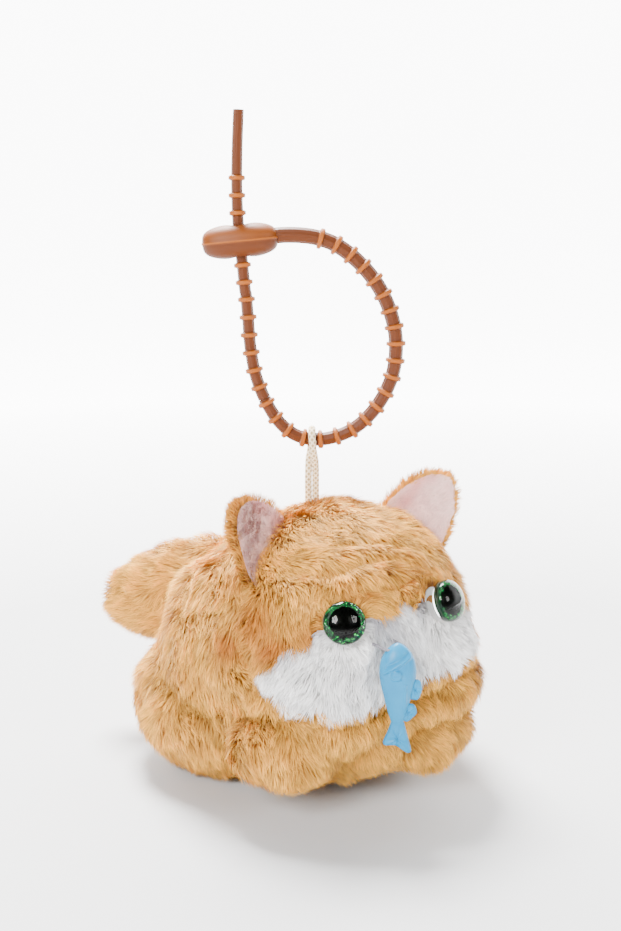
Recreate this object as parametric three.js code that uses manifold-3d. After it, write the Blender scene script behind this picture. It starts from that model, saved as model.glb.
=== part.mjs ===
// Plush keychain: a loaf-shaped plush cat with a small fish in its mouth. It hangs by a
// braided cord from a reusable ribbed silicone strap that closes in its own lock.
// Millimetres, +Z up. The strap's loop lies in the XZ plane and the plush is turned a
// little to the side of it. The origin is the top of the strap's loop, where a hook or a
// bag ring bears, straight above the cord.
import * as THREE from "three";
import { mergeVertices } from "three/addons/utils/BufferGeometryUtils.js";
import Module from "manifold-3d";

const wasm = await Module();
wasm.setup();

// ---------------------------------------------------------------- driving dimensions

const GAP = 0.3; // clear space left between touching pieces

// Strap: ribbed run, lock and tail.
const RIB_PITCH = 5.1;
const RIB_WIDTH = 1.5;
const RIB_HEIGHT = 0.95; // how far a rib stands out of the core
const NECK_R = 2.2; // core radius where the strap leaves the lock
const TAIL_R = 1.45; // core radius at the tip of the tail
const LOCK_LENGTH = 22.4;
const LOCK_HEIGHT = 10.6;
const LOCK_DEPTH = 12;
const LOCK_AT = [-21.4, 0, 2.1];
const LOCK_TILT = THREE.MathUtils.degToRad(5.4);
const TAIL_ABOVE_LOCK = 37.8; // from the lock's middle to the tip of the tail
const TAIL_BELOW_LOCK = 15.4; // from the lock's middle to the joint with the loop
const LOOP_BOTTOM = [0, 0, -57.5]; // the strap's centre line where the cord hangs

// Cord.
const CORD_R = 1.0;
const CORD_LEG_SPREAD = 1.3; // from the middle between the legs to a leg's centre line
const KNOT_R = 3.6;
const KNOT_DEPTH = 9; // from the top of the head to the middle of the knot
const BIGHT_DROP = 10; // from the strap's centre line down to the end of the bight
const CORD_BREAK = 1; // room to bend between the bight and the two legs below it
const CORD_HANG = 18.3; // from the strap's centre line down to the top of the head

// Plush body: overall half sizes, and the cloth that covers it.
const BODY_HALF_WIDTH = 49;
const BODY_HALF_LENGTH = 39.5;
const BODY_HALF_HEIGHT = 39.5;
const COVER_THICKNESS = 3; // backing cloth with its flattened pile
const PLUSH_TURN = THREE.MathUtils.degToRad(30);
const BODY_OFFSET = [1.0, 1.4]; // the body's middle from the cord's line, in the plush's own axes

// Face.
const EYE_R = 6;
const EYE_DOME = 3.4;
const EYE_SHANK_R = 1.6;
const PUPIL_R = 4.1;
const GLITTER_THICKNESS = 0.6;
const PUPIL_THICKNESS = 0.8;
const WASHER_R = 5;
const WASHER_THICKNESS = 1.2;
const MUZZLE_HALF_WIDTH = 38;
const MUZZLE_TOP = 19;
const MUZZLE_BOTTOM = -7;

// Ears.
const EAR_WIDTH = 25;
const EAR_HEIGHT = 20;
const EAR_BACK_THICKNESS = 2.2;
const EAR_LINING_THICKNESS = 1.2;
const EAR_RIM = 1.6; // how far the back shows past the lining

// Tail.
const TAIL_LENGTH = 64;
const TAIL_WIDTH = 36;
const TAIL_THICKNESS = 23;

// Fish.
const FISH_BODY_LENGTH = 25;
const FISH_WIDTH = 10.8;
const FISH_THICKNESS = 7;
const FISH_TAIL_LENGTH = 8.5;
const FISH_TAIL_WIDTH = 8.4;
const FISH_FIN_THICKNESS = 1.8;
const FISH_HOLE_R = 0.9;
const THREAD_R = 0.5;

const SIDES = 8; // facets round a strap or a small round piece

// ---------------------------------------------------------------- helpers

const vec = (p) => new THREE.Vector3(...p);

// A closed three.js geometry, moved by an optional matrix, as a manifold solid.
function solid(geometry, matrix = new THREE.Matrix4()) {
  const bare = geometry.index ? geometry.toNonIndexed() : geometry.clone();
  bare.deleteAttribute("normal");
  bare.deleteAttribute("uv");
  bare.applyMatrix4(matrix);
  const merged = mergeVertices(bare, 1e-3);
  const vertProperties = merged.attributes.position.array;
  const triVerts = new Uint32Array(merged.index.array);
  return new wasm.Manifold(new wasm.Mesh({ numProp: 3, vertProperties, triVerts }));
}

// A manifold solid as a three.js geometry.
function geometryOf(body) {
  const mesh = body.getMesh();
  const geometry = new THREE.BufferGeometry();
  const positions = new Float32Array(mesh.numVert * 3);
  for (let i = 0; i < mesh.numVert; i += 1) {
    positions.set(mesh.vertProperties.subarray(i * mesh.numProp, i * mesh.numProp + 3), i * 3);
  }
  geometry.setAttribute("position", new THREE.BufferAttribute(positions, 3));
  geometry.setIndex(new THREE.BufferAttribute(new Uint32Array(mesh.triVerts), 1));
  geometry.computeVertexNormals();
  return geometry;
}

// The largest connected part of a cut, without the slivers a cut can leave.
function mainPart(body) {
  const parts = body.decompose();
  return parts.reduce((best, part) => (part.volume() > best.volume() ? part : best));
}

function piece(name, shape, colour, roughness, metalness = 0) {
  const geometry = shape.isBufferGeometry ? shape : geometryOf(shape);
  const material = new THREE.MeshStandardMaterial({ color: colour, roughness, metalness });
  const mesh = new THREE.Mesh(geometry, material);
  mesh.name = name;
  return mesh;
}

// A matrix that puts a shape's own axis onto a direction at a point. The shape's +Z goes
// to the direction and its +X stays as level as it can.
function along(point, direction) {
  const z = direction.clone().normalize();
  const x = new THREE.Vector3(0, 0, 1).cross(z);
  if (x.lengthSq() < 1e-6) x.set(1, 0, 0);
  x.normalize();
  const y = z.clone().cross(x);
  return new THREE.Matrix4().makeBasis(x, y, z).setPosition(point);
}

// A round bar along Z from low to high.
function bar(radius, low, high, matrix, sides = SIDES) {
  const geometry = new THREE.CylinderGeometry(radius, radius, high - low, sides);
  geometry.rotateX(Math.PI / 2);
  geometry.translate(0, 0, (low + high) / 2);
  return solid(geometry, matrix);
}

function box(low, high, matrix) {
  const size = high.map((value, i) => value - low[i]);
  const geometry = new THREE.BoxGeometry(...size);
  geometry.translate(...low.map((value, i) => value + size[i] / 2));
  return solid(geometry, matrix);
}

function ellipsoid(centre, radii, across = 16, rows = 10) {
  const geometry = new THREE.SphereGeometry(1, across, rows);
  geometry.rotateX(Math.PI / 2);
  geometry.scale(...radii);
  geometry.translate(...centre);
  return solid(geometry);
}

// ---------------------------------------------------------------- strap

// The loop's centre line, from the lock's end round to the joint with the tail.
const loopCurve = new THREE.CatmullRomCurve3(
  [
    [-13, 3.3], [-9, 3.8], [-3, 3.7], [2, 2.9], [7, 1], [13, -3.3], [19.4, -10.6],
    [23.6, -19.2], [25.3, -28.4], [24.1, -38.6], [19.2, -48], [12.6, -54.3], [5.6, -57.1],
    [0, LOOP_BOTTOM[2]], [-5, -56.2], [-9.6, -52.6], [-13.6, -46.6], [-17, -38], [-18.6, -29],
    [-19.2, -20.5], [-19.75, -13.6],
  ].map(([x, z]) => new THREE.Vector3(x, 0, z)),
  false,
  "centripetal",
);

// Core radius at a distance along the whole strap, as a share of its length.
const coreRadius = (share) => THREE.MathUtils.lerp(NECK_R, TAIL_R, share);

// Stations [distance, radius] of a ribbed bar: the core, and each rib as a low bevelled ring.
function ribbedStations(length, radiusAt, ribCentres) {
  const stations = [[0, radiusAt(0)]];
  for (const centre of ribCentres) {
    const half = RIB_WIDTH / 2;
    stations.push([centre - half, radiusAt(centre)]);
    stations.push([centre - half * 0.4, radiusAt(centre) + RIB_HEIGHT]);
    stations.push([centre + half * 0.4, radiusAt(centre) + RIB_HEIGHT]);
    stations.push([centre + half, radiusAt(centre)]);
  }
  stations.push([length, radiusAt(length)]);
  return stations;
}

// A closed round bar along a curve in the XZ plane, through the given stations.
function sweptBar(curve, stations, sides = SIDES) {
  const length = curve.getLength();
  const positions = [];
  const index = [];
  stations.forEach(([distance, radius]) => {
    const share = THREE.MathUtils.clamp(distance / length, 0, 1);
    const centre = curve.getPointAt(share);
    const tangent = curve.getTangentAt(share);
    const normal = new THREE.Vector3(-tangent.z, 0, tangent.x);
    for (let k = 0; k < sides; k += 1) {
      const turn = (k / sides) * Math.PI * 2;
      const p = centre.clone();
      p.addScaledVector(normal, radius * Math.cos(turn));
      p.y += radius * Math.sin(turn);
      positions.push(p.x, p.y, p.z);
    }
  });
  const last = stations.length - 1;
  for (let i = 0; i < last; i += 1) {
    for (let k = 0; k < sides; k += 1) {
      const a = i * sides + k;
      const b = i * sides + ((k + 1) % sides);
      index.push(a, a + sides, b, b, a + sides, b + sides);
    }
  }
  for (let k = 1; k < sides - 1; k += 1) {
    index.push(0, k, k + 1);
    index.push(last * sides, last * sides + k + 1, last * sides + k);
  }
  const geometry = new THREE.BufferGeometry();
  geometry.setAttribute("position", new THREE.Float32BufferAttribute(positions, 3));
  geometry.setIndex(index);
  return geometry;
}

const loopLength = loopCurve.getLength();
const lockFrame = new THREE.Matrix4()
  .makeRotationY(-LOCK_TILT)
  .setPosition(...LOCK_AT);
const lockUp = new THREE.Vector3(-Math.sin(LOCK_TILT), 0, Math.cos(LOCK_TILT));
const strapLength = loopLength + TAIL_ABOVE_LOCK + TAIL_BELOW_LOCK;
const tailRibR = coreRadius(loopLength / strapLength) + RIB_HEIGHT;

// Ribs of the loop sit evenly on both sides of the cord, which hangs between two of them.
const cordDistance = (() => {
  let best = 0;
  for (let i = 0; i <= 800; i += 1) {
    const share = i / 800;
    const off = loopCurve.getPointAt(share).distanceTo(vec(LOOP_BOTTOM));
    if (off < loopCurve.getPointAt(best).distanceTo(vec(LOOP_BOTTOM))) best = share;
  }
  return best * loopLength;
})();
const loopRibs = [];
const ribsBefore = Math.floor((cordDistance - 14) / RIB_PITCH);
for (let k = -ribsBefore; ; k += 1) {
  const centre = cordDistance + (k + 0.5) * RIB_PITCH;
  if (centre > loopLength - RIB_WIDTH) break;
  loopRibs.push(centre);
}

// The lock: a rounded lozenge, thicker in the middle, with a bore for the tail.
function makeLock() {
  const profile = [];
  const steps = 8;
  for (let i = 0; i <= steps; i += 1) {
    const angle = (i / steps) * Math.PI - Math.PI / 2;
    const x = Math.sin(angle);
    profile.push(new THREE.Vector2(Math.pow(Math.cos(angle), 0.55), x));
  }
  profile[0].x = 0;
  profile[steps].x = 0;
  const geometry = new THREE.LatheGeometry(profile, 14);
  geometry.rotateZ(-Math.PI / 2);
  geometry.scale(LOCK_LENGTH / 2, LOCK_DEPTH / 2, LOCK_HEIGHT / 2);
  const bulb = solid(geometry, lockFrame);
  const bore = bar(tailRibR + GAP, -LOCK_HEIGHT, LOCK_HEIGHT, lockFrame, 12);
  return { bulb, bore };
}

const strapColour = 0xb9774b;
const lock = makeLock();
const loopStations = ribbedStations(loopLength, (d) => coreRadius(d / strapLength), loopRibs);
const loopBar = solid(sweptBar(loopCurve, loopStations));
const strapLoop = mainPart(lock.bulb.add(loopBar).subtract(lock.bore));

// The tail runs straight through the lock and then stands upright above it.
const throughLock = (distance) => vec(LOCK_AT).addScaledVector(lockUp, distance);
const lockTop = throughLock(LOCK_HEIGHT / 2);
const aboveLock = (distance, drift) => new THREE.Vector3(
  lockTop.x + drift, 0, LOCK_AT[2] + distance,
);
const tailCurve = new THREE.CatmullRomCurve3(
  [
    throughLock(-TAIL_BELOW_LOCK + GAP), throughLock(-8), throughLock(0), lockTop,
    aboveLock(TAIL_ABOVE_LOCK * 0.4, -0.3), aboveLock(TAIL_ABOVE_LOCK * 0.7, -0.1),
    aboveLock(TAIL_ABOVE_LOCK, 0.4),
  ],
  false,
  "centripetal",
);
const tailRibs = [];
for (let d = RIB_PITCH / 2; d < TAIL_BELOW_LOCK + 22; d += RIB_PITCH) {
  tailRibs.push(d);
}
const tailStations = ribbedStations(
  tailCurve.getLength(),
  (d) => coreRadius((loopLength + d) / strapLength),
  tailRibs,
);

const strap = new THREE.Group();
strap.add(piece("strap_loop_and_lock", strapLoop, strapColour, 0.5));
strap.add(piece("strap_tail", solid(sweptBar(tailCurve, tailStations)), strapColour, 0.5));

// ---------------------------------------------------------------- plush shapes

// A place or size in the body, from shares of its half width, half length and half height.
const inBody = ([x, y, z]) => [x * BODY_HALF_WIDTH, y * BODY_HALF_LENGTH, z * BODY_HALF_HEIGHT];

// The body is one smooth blend of rounded masses, [centre, radii] about its middle.
// Masses off the centre plane are there twice, left and right.
const bodyMasses = [
  [[0, 0.144, -0.1], [1, 1, 1]], // rump and back
  [[0, -0.309, 0.162], [0.888, 1.02, 1]], // head
  [[0.306, -0.823, -0.114], [0.469, 0.557, 0.456]], // muzzle, left and right of the mouth
  [[0, -0.532, -0.456], [0.776, 0.684, 0.468]], // chest
].map(([centre, radii]) => [inBody(centre), inBody(radii)]);
const BLEND = 3;
const BELLY_FLAT = BODY_HALF_HEIGHT * 1.05; // from the body's middle to the flat underneath

// How far a point is outside the blended body, about, in mm.
function bodyField(x, y, z) {
  let sum = 0;
  for (const [[cx, cy, cz], [rx, ry, rz]] of bodyMasses) {
    for (const side of cx === 0 ? [1] : [1, -1]) {
      const q = [(x - side * cx) / rx, (y - cy) / ry, (z - cz) / rz];
      const reach = Math.hypot(...q);
      const slope = Math.hypot(q[0] / rx, q[1] / ry, q[2] / rz) + 1e-9;
      sum += Math.exp(-Math.max(-40, Math.min(40, (reach * (reach - 1)) / slope / BLEND)));
    }
  }
  return -BLEND * Math.log(sum + 1e-18);
}

// The body's surface in a direction from its middle, found by halving, less an inset.
function bodyReach(direction, inset) {
  let low = 0;
  let high = 90;
  for (let i = 0; i < 22; i += 1) {
    const mid = (low + high) / 2;
    if (bodyField(direction.x * mid, direction.y * mid, direction.z * mid) < 0) low = mid;
    else high = mid;
  }
  const floor = direction.z < 0 ? (BELLY_FLAT - inset) / -direction.z : Infinity;
  return Math.min(low - inset, floor);
}

// The body as a closed solid on a grid of directions, set in by a distance.
function bodySolid(inset, across = 30, rows = 18) {
  const geometry = new THREE.SphereGeometry(1, across, rows);
  geometry.rotateX(Math.PI / 2);
  const position = geometry.attributes.position;
  const p = new THREE.Vector3();
  for (let i = 0; i < position.count; i += 1) {
    p.fromBufferAttribute(position, i).normalize();
    p.multiplyScalar(bodyReach(p, inset));
    position.setXYZ(i, p.x, p.y, p.z);
  }
  return solid(geometry);
}

// The point a little outside the body's surface, in the direction of a place in the body.
function offSurface(shares, out) {
  const unit = vec(inBody(shares)).normalize();
  return unit.clone().multiplyScalar(bodyReach(unit, 0) + out);
}

const outer = bodySolid(0);
const clearOfBody = bodySolid(-GAP);
const shell = outer.subtract(bodySolid(COVER_THICKNESS));
const stuffing = bodySolid(COVER_THICKNESS + GAP);

// ---------------------------------------------------------------- eyes

const EYE_PLACE = [0.349, -1.182, 0.504]; // shares of the body's half sizes
const EYE_AZIMUTH = THREE.MathUtils.degToRad(23.5);
const EYE_LIFT = THREE.MathUtils.degToRad(20);
const pupilBase = GLITTER_THICKNESS + GAP;
const lensBase = pupilBase + PUPIL_THICKNESS + GAP;
const washerTop = -(COVER_THICKNESS + 2 * GAP);

// Each eye is a clear dome on a black post that goes through the glitter disc and the
// cloth, and a lock washer holds the post behind the cloth.
function makeEye(side) {
  const name = side > 0 ? "left" : "right";
  const facing = new THREE.Vector3(
    side * Math.sin(EYE_AZIMUTH) * Math.cos(EYE_LIFT),
    -Math.cos(EYE_AZIMUTH) * Math.cos(EYE_LIFT),
    Math.sin(EYE_LIFT),
  );
  const seat = offSurface(EYE_PLACE, 0);
  seat.x *= side;
  const frame = along(seat, facing);

  const rim = 0.9;
  const profile = [new THREE.Vector2(0, lensBase), new THREE.Vector2(EYE_R, lensBase)];
  for (let i = 0; i <= 5; i += 1) {
    const turn = (i / 5) * (Math.PI / 2);
    const height = lensBase + rim + (EYE_DOME - rim) * Math.sin(turn);
    profile.push(new THREE.Vector2(i === 5 ? 0 : EYE_R * Math.cos(turn), height));
  }
  const lensGeometry = new THREE.LatheGeometry(profile, 18);
  lensGeometry.rotateX(Math.PI / 2);
  const lens = solid(lensGeometry, frame);

  const shankEnd = washerTop - WASHER_THICKNESS - 3;
  const post = bar(PUPIL_R, pupilBase, pupilBase + PUPIL_THICKNESS, frame, 16)
    .add(bar(EYE_SHANK_R, shankEnd, pupilBase + 0.1, frame));
  const glitter = bar(EYE_R - GAP, 0, GLITTER_THICKNESS, frame, 18)
    .subtract(bar(EYE_SHANK_R + GAP, -1, 2, frame));
  const washer = bar(WASHER_R, washerTop - WASHER_THICKNESS, washerTop, frame, 14)
    .subtract(bar(EYE_SHANK_R + GAP, washerTop - 3, washerTop + 1, frame));

  const room = bar(EYE_R + GAP, -GAP, 12, frame, 18)
    .add(bar(EYE_SHANK_R + GAP, shankEnd - GAP, 0, frame))
    .add(bar(WASHER_R + GAP, washerTop - WASHER_THICKNESS - GAP, washerTop + GAP, frame, 14));

  return {
    room,
    meshes: [
      piece(`eye_lens_${name}`, lens, 0xdfe6e6, 0.05),
      piece(`eye_post_${name}`, post, 0x101010, 0.3),
      piece(`eye_glitter_${name}`, glitter, 0x1f7a3a, 0.4, 0.3),
      piece(`eye_washer_${name}`, washer, 0xe8e8e8, 0.5),
    ],
  };
}

const eyes = [makeEye(1), makeEye(-1)];

// ---------------------------------------------------------------- fish and its thread

const FISH_PLACE = [-0.133, -1.466, 0.316]; // the thread's hole, shares of the half sizes
const FISH_OUT = 5.6; // from the cloth to the thread's hole
const FISH_HANG = offSurface(FISH_PLACE, FISH_OUT).toArray();
const FISH_YAW = THREE.MathUtils.degToRad(-32); // which way the fish's flank faces
const THREAD_HALF_SPAN = 3.6;

// The fish hangs head up from a thread staple through its mouth. Flank to its own -Y.
function makeFish() {
  const profile = [];
  const steps = 12;
  for (let i = 0; i <= steps; i += 1) {
    const share = i / steps;
    const width = Math.sin(Math.PI * Math.pow(share, 0.72)) * (1 - 0.22 * share);
    profile.push(new THREE.Vector2(Math.max(width, 0) + (share > 0.5 ? 0.16 * share : 0), -share));
  }
  profile[0].x = 0;
  profile.push(new THREE.Vector2(0, -1));
  profile.reverse();
  const geometry = new THREE.LatheGeometry(profile, 12);
  geometry.rotateX(Math.PI / 2);
  geometry.scale(FISH_WIDTH / 2, FISH_THICKNESS / 2, FISH_BODY_LENGTH);
  geometry.translate(0, 0, 1.9);
  let fish = solid(geometry);

  const fin = (points, thickness) => {
    const outline = new THREE.Shape(points.map(([x, z]) => new THREE.Vector2(x, z)));
    const plate = new THREE.ExtrudeGeometry(outline, { depth: thickness, bevelEnabled: false });
    plate.rotateX(Math.PI / 2);
    plate.translate(0, thickness / 2, 0);
    return solid(plate);
  };
  const base = -FISH_BODY_LENGTH + 3.6;
  const half = FISH_TAIL_WIDTH / 2;
  const tip = base - FISH_TAIL_LENGTH;
  fish = fish.add(fin(
    [[-1.2, base + 2], [-half * 0.9, tip + 3], [-half * 0.86, tip + 2.4], [0.6, tip + 1.6],
      [half * 0.7, tip], [half, tip + 0.4], [1.4, base + 2]],
    FISH_FIN_THICKNESS,
  ));
  const edge = FISH_WIDTH / 2;
  fish = fish.add(fin(
    [[edge - 2.4, -8], [edge + 0.9, -8.8], [edge + 1.4, -11.5], [edge + 0.2, -14.6],
      [edge - 2.6, -14.2]],
    FISH_FIN_THICKNESS,
  ));
  fish = fish.add(fin(
    [[edge - 4.4, -15], [edge - 0.6, -15.6], [edge + 0.1, -18.2], [edge - 2.6, -20.8],
      [edge - 4.4, -20]],
    FISH_FIN_THICKNESS,
  ));
  return fish;
}

const fishFrame = new THREE.Matrix4().makeRotationZ(FISH_YAW).setPosition(...FISH_HANG);
const fishHole = bar(
  FISH_HOLE_R, -FISH_WIDTH, FISH_WIDTH,
  along(vec(FISH_HANG), new THREE.Vector3(1, 0, 0)),
  10,
);
const fish = mainPart(makeFish().transform(fishFrame.elements).subtract(fishHole));

// The thread: in through the muzzle, across through the fish's mouth, and back in.
function threadRoute() {
  const [x, y, z] = FISH_HANG;
  return new THREE.CatmullRomCurve3(
    [
      [x - THREAD_HALF_SPAN, y + 14, z], [x - THREAD_HALF_SPAN, y + 3, z],
      [x - THREAD_HALF_SPAN * 0.9, y + 1, z], [x - THREAD_HALF_SPAN * 0.6, y, z],
      [x + THREAD_HALF_SPAN * 0.6, y, z], [x + THREAD_HALF_SPAN * 0.9, y + 1, z],
      [x + THREAD_HALF_SPAN, y + 3, z], [x + THREAD_HALF_SPAN, y + 14, z],
    ].map(vec),
    false,
    "centripetal",
  );
}

function tubeAlong(route, radius, steps, sides = 8) {
  const section = new THREE.Shape();
  for (let k = 0; k < sides; k += 1) {
    const turn = (k / sides) * Math.PI * 2;
    const point = [radius * Math.cos(turn), radius * Math.sin(turn)];
    if (k === 0) section.moveTo(...point);
    else section.lineTo(...point);
  }
  section.closePath();
  return new THREE.ExtrudeGeometry(section, { steps, extrudePath: route, bevelEnabled: false });
}

const thread = threadRoute();
const threadRoom = solid(tubeAlong(thread, THREAD_R + GAP, 20, 6));

// ---------------------------------------------------------------- cord and knot

// Places of the cord are taken from the strap's lowest point, the head's top and the knot.
const [bottomX, , bottomZ] = LOOP_BOTTOM;
const headTop = bottomZ - CORD_HANG;
const bodyMiddle = headTop - bodyReach(new THREE.Vector3(0, 0, 1), 0);
const saddleR = coreRadius(cordDistance / strapLength) + GAP + CORD_R;
const bightEnd = bottomZ - BIGHT_DROP;

// The bight goes over the strap; its two legs come together side by side under it.
function makeBight() {
  const leg = (side) => [
    [bottomX + side * 0.15, -side * saddleR, bottomZ - 0.4],
    [bottomX + side * 0.4, -side * (saddleR - 0.5), bottomZ - 3.2],
    [bottomX + side * 0.95, -side * 1.2, bottomZ - 6.6],
    [bottomX + side * CORD_LEG_SPREAD, 0, bightEnd],
  ];
  const over = [];
  for (let i = 1; i < 6; i += 1) {
    const turn = (i / 6) * Math.PI;
    over.push([bottomX, saddleR * -Math.cos(turn), bottomZ + saddleR * Math.sin(turn)]);
  }
  const points = [...leg(1).reverse(), ...over, ...leg(-1)];
  const route = new THREE.CatmullRomCurve3(points.map(vec), false, "centripetal");
  return solid(tubeAlong(route, CORD_R, 40));
}

const knotZ = headTop - KNOT_DEPTH;

// The two legs and the knot that ties them together inside the head.
function makeKnot(grow) {
  const leg = (side) => bar(
    CORD_R + grow, knotZ, bightEnd - CORD_BREAK + grow,
    new THREE.Matrix4().setPosition(bottomX + side * CORD_LEG_SPREAD, 0, 0),
  );
  const ball = ellipsoid([bottomX, 0, knotZ], [KNOT_R + grow, KNOT_R + grow, 3 + grow], 14, 8);
  return ball.add(leg(1)).add(leg(-1));
}

// ---------------------------------------------------------------- plush assembly

const plush = new THREE.Group();
plush.rotation.z = PLUSH_TURN;
const plushAt = new THREE.Vector3(BODY_OFFSET[0], BODY_OFFSET[1], 0)
  .applyAxisAngle(new THREE.Vector3(0, 0, 1), PLUSH_TURN);
plush.position.set(plushAt.x, plushAt.y, bodyMiddle);
plush.updateMatrixWorld(true);
const intoPlush = plush.matrixWorld.clone().invert();

const knotRoom = makeKnot(GAP)
  .add(bar(CORD_LEG_SPREAD + CORD_R + GAP, knotZ, headTop + 6, new THREE.Matrix4(), 12))
  .transform(intoPlush.elements);

const furColour = 0xd6ac74;
const furPieces = [];

// Rooms that the eyes, the thread and the knot need in cloth and stuffing.
const rooms = eyes[0].room.add(eyes[1].room).add(threadRoom).add(knotRoom);

// The muzzle panel's outline from the front: a wide rounded band, lower on its right.
function muzzleOutline(grow) {
  const half = MUZZLE_HALF_WIDTH + grow;
  const top = MUZZLE_TOP + grow;
  const bottom = MUZZLE_BOTTOM - grow;
  const tip = 5;
  const outline = new THREE.Shape();
  outline.moveTo(-half, tip);
  outline.bezierCurveTo(-half, bottom + 2, -half * 0.8, bottom, -half * 0.45, bottom);
  outline.lineTo(half * 0.45, bottom + 4);
  outline.bezierCurveTo(half * 0.8, bottom + 5, half, bottom + 8, half, tip);
  outline.bezierCurveTo(half, top * 0.6, half * 0.6, top * 0.8, half * 0.35, top * 0.86);
  outline.quadraticCurveTo(half * 0.2, top, 0, top);
  outline.quadraticCurveTo(-half * 0.2, top, -half * 0.35, top * 0.86);
  outline.bezierCurveTo(-half * 0.6, top * 0.8, -half, top * 0.6, -half, tip);
  return outline;
}

function muzzlePrism(grow) {
  const geometry = new THREE.ExtrudeGeometry(
    muzzleOutline(grow),
    { depth: 80, bevelEnabled: false, curveSegments: 5 },
  );
  geometry.rotateX(Math.PI / 2);
  geometry.translate(0, -18, 0);
  return solid(geometry);
}

// The face panel lies in front of the seam that runs from ear to ear and down the cheeks.
function facePrism(grow) {
  const outline = new THREE.Shape(
    [[-3, 2], [0.2, 2], [-0.15, 1.19], [-0.51, 0.71], [-0.79, 0.2], [-0.84, 0.05], [-3, 0.05]]
      .map(([y, z]) => inBody([0, y, z]))
      .map(([, y, z]) => new THREE.Vector2(y + grow, z - grow)),
  );
  const geometry = new THREE.ExtrudeGeometry(outline, { depth: 140, bevelEnabled: false });
  geometry.rotateX(Math.PI / 2);
  geometry.rotateZ(Math.PI / 2);
  geometry.translate(-70, 0, 0);
  return solid(geometry);
}

const BELLY_SEAM = -0.86 * BODY_HALF_HEIGHT; // the belly panel's edge
const far = 120;
const seam = GAP / 2;
const fold = shell.subtract(rooms);
const muzzleCover = mainPart(fold.intersect(muzzlePrism(0)));
const faceCover = mainPart(fold.intersect(facePrism(0)).subtract(muzzlePrism(GAP)));
const rest = fold.subtract(muzzlePrism(GAP)).subtract(facePrism(GAP));
const aboveBelly = (low, high) => box([low, -far, BELLY_SEAM + seam], [high, far, far]);
furPieces.push(["muzzle_cover", muzzleCover, 0xe8e8e4]);
furPieces.push(["face_cover", faceCover, furColour]);
furPieces.push(["side_cover_left", mainPart(rest.intersect(aboveBelly(seam, far))), furColour]);
furPieces.push(["side_cover_right", mainPart(rest.intersect(aboveBelly(-far, -seam))), furColour]);
furPieces.push([
  "belly_cover",
  mainPart(rest.intersect(box([-far, -far, -far], [far, far, BELLY_SEAM - seam]))),
  furColour,
]);
furPieces.push(["body_stuffing", mainPart(stuffing.subtract(rooms)), 0xf2efe8]);

// Paws and hind feet are stuffed pouches sewn onto the body's low corners.
const frontPaws = { left: inBody([0.306, -0.9, -0.506]), right: inBody([-0.531, -0.785, -0.481]) };
const FRONT_PAW_RADII = inBody([0.378, 0.443, 0.367]);
const hindFoot = [inBody([0.602, 0.362, -0.524]), inBody([0.465, 0.808, 0.585])];
const footRooms = (side) => ellipsoid(
  [side * hindFoot[0][0], hindFoot[0][1], hindFoot[0][2]],
  hindFoot[1].map((radius) => radius + GAP),
);
for (const side of [1, -1]) {
  const name = side > 0 ? "left" : "right";
  const at = ([x, y, z]) => [side * x, y, z];
  const ground = box([-far, -far, -far], [far, far, -BELLY_FLAT]);
  const foot = ellipsoid(at(hindFoot[0]), hindFoot[1]).subtract(clearOfBody).subtract(ground);
  const paw = ellipsoid(frontPaws[name], FRONT_PAW_RADII).subtract(clearOfBody)
    .subtract(footRooms(side));
  furPieces.push([`hind_foot_${name}`, mainPart(foot), furColour]);
  furPieces.push([`front_paw_${name}`, mainPart(paw), furColour]);
}

// Ears: a fur back and a short-pile lining, standing on the seam beside the crown.
const EAR_INNER = inBody([0.314, -0.241, 1.094]);
const EAR_OUTER = inBody([0.733, -0.575, 0.663]);

function earOutline(width, height) {
  const outline = new THREE.Shape();
  const half = width / 2;
  const sink = -7;
  outline.moveTo(-half * 0.94, sink);
  outline.lineTo(half * 0.94, sink);
  outline.bezierCurveTo(half, height * 0.35, half * 0.62, height * 0.82, half * 0.15, height);
  outline.bezierCurveTo(-half * 0.05, height * 1.04, -half * 0.2, height, -half * 0.38, height * 0.92);
  outline.bezierCurveTo(-half * 0.75, height * 0.7, -half, height * 0.4, -half * 0.94, sink);
  return outline;
}

function makeEar(side) {
  const name = side > 0 ? "left" : "right";
  const inner = new THREE.Vector3(side * EAR_INNER[0], EAR_INNER[1], EAR_INNER[2]);
  const outer = new THREE.Vector3(side * EAR_OUTER[0], EAR_OUTER[1], EAR_OUTER[2]);
  const across = outer.clone().sub(inner).normalize();
  const up = new THREE.Vector3(0, 0.06, 1).normalize();
  up.addScaledVector(across, -up.dot(across)).normalize();
  const front = across.clone().cross(up);
  if (front.y > 0) front.negate();
  const middle = inner.clone().add(outer).multiplyScalar(0.5);
  const frame = new THREE.Matrix4().makeBasis(
    side > 0 ? across : across.clone().negate(), up, front,
  ).setPosition(middle);
  const plate = (width, height, low, thickness) => {
    const outline = earOutline(width, height);
    const geometry = new THREE.ExtrudeGeometry(
      outline, { depth: thickness, bevelEnabled: false, curveSegments: 6 },
    );
    geometry.scale(side > 0 ? 1 : -1, 1, 1);
    if (side < 0) flip(geometry);
    geometry.translate(0, 0, low);
    return solid(geometry, frame).subtract(clearOfBody);
  };
  const back = plate(EAR_WIDTH, EAR_HEIGHT, 0, EAR_BACK_THICKNESS);
  const lining = plate(
    EAR_WIDTH - 2 * EAR_RIM, EAR_HEIGHT - EAR_RIM, EAR_BACK_THICKNESS + GAP, EAR_LINING_THICKNESS,
  );
  furPieces.push([`ear_back_${name}`, mainPart(back), furColour]);
  furPieces.push([`ear_lining_${name}`, mainPart(lining), 0xe3bfc4]);
}

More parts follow.
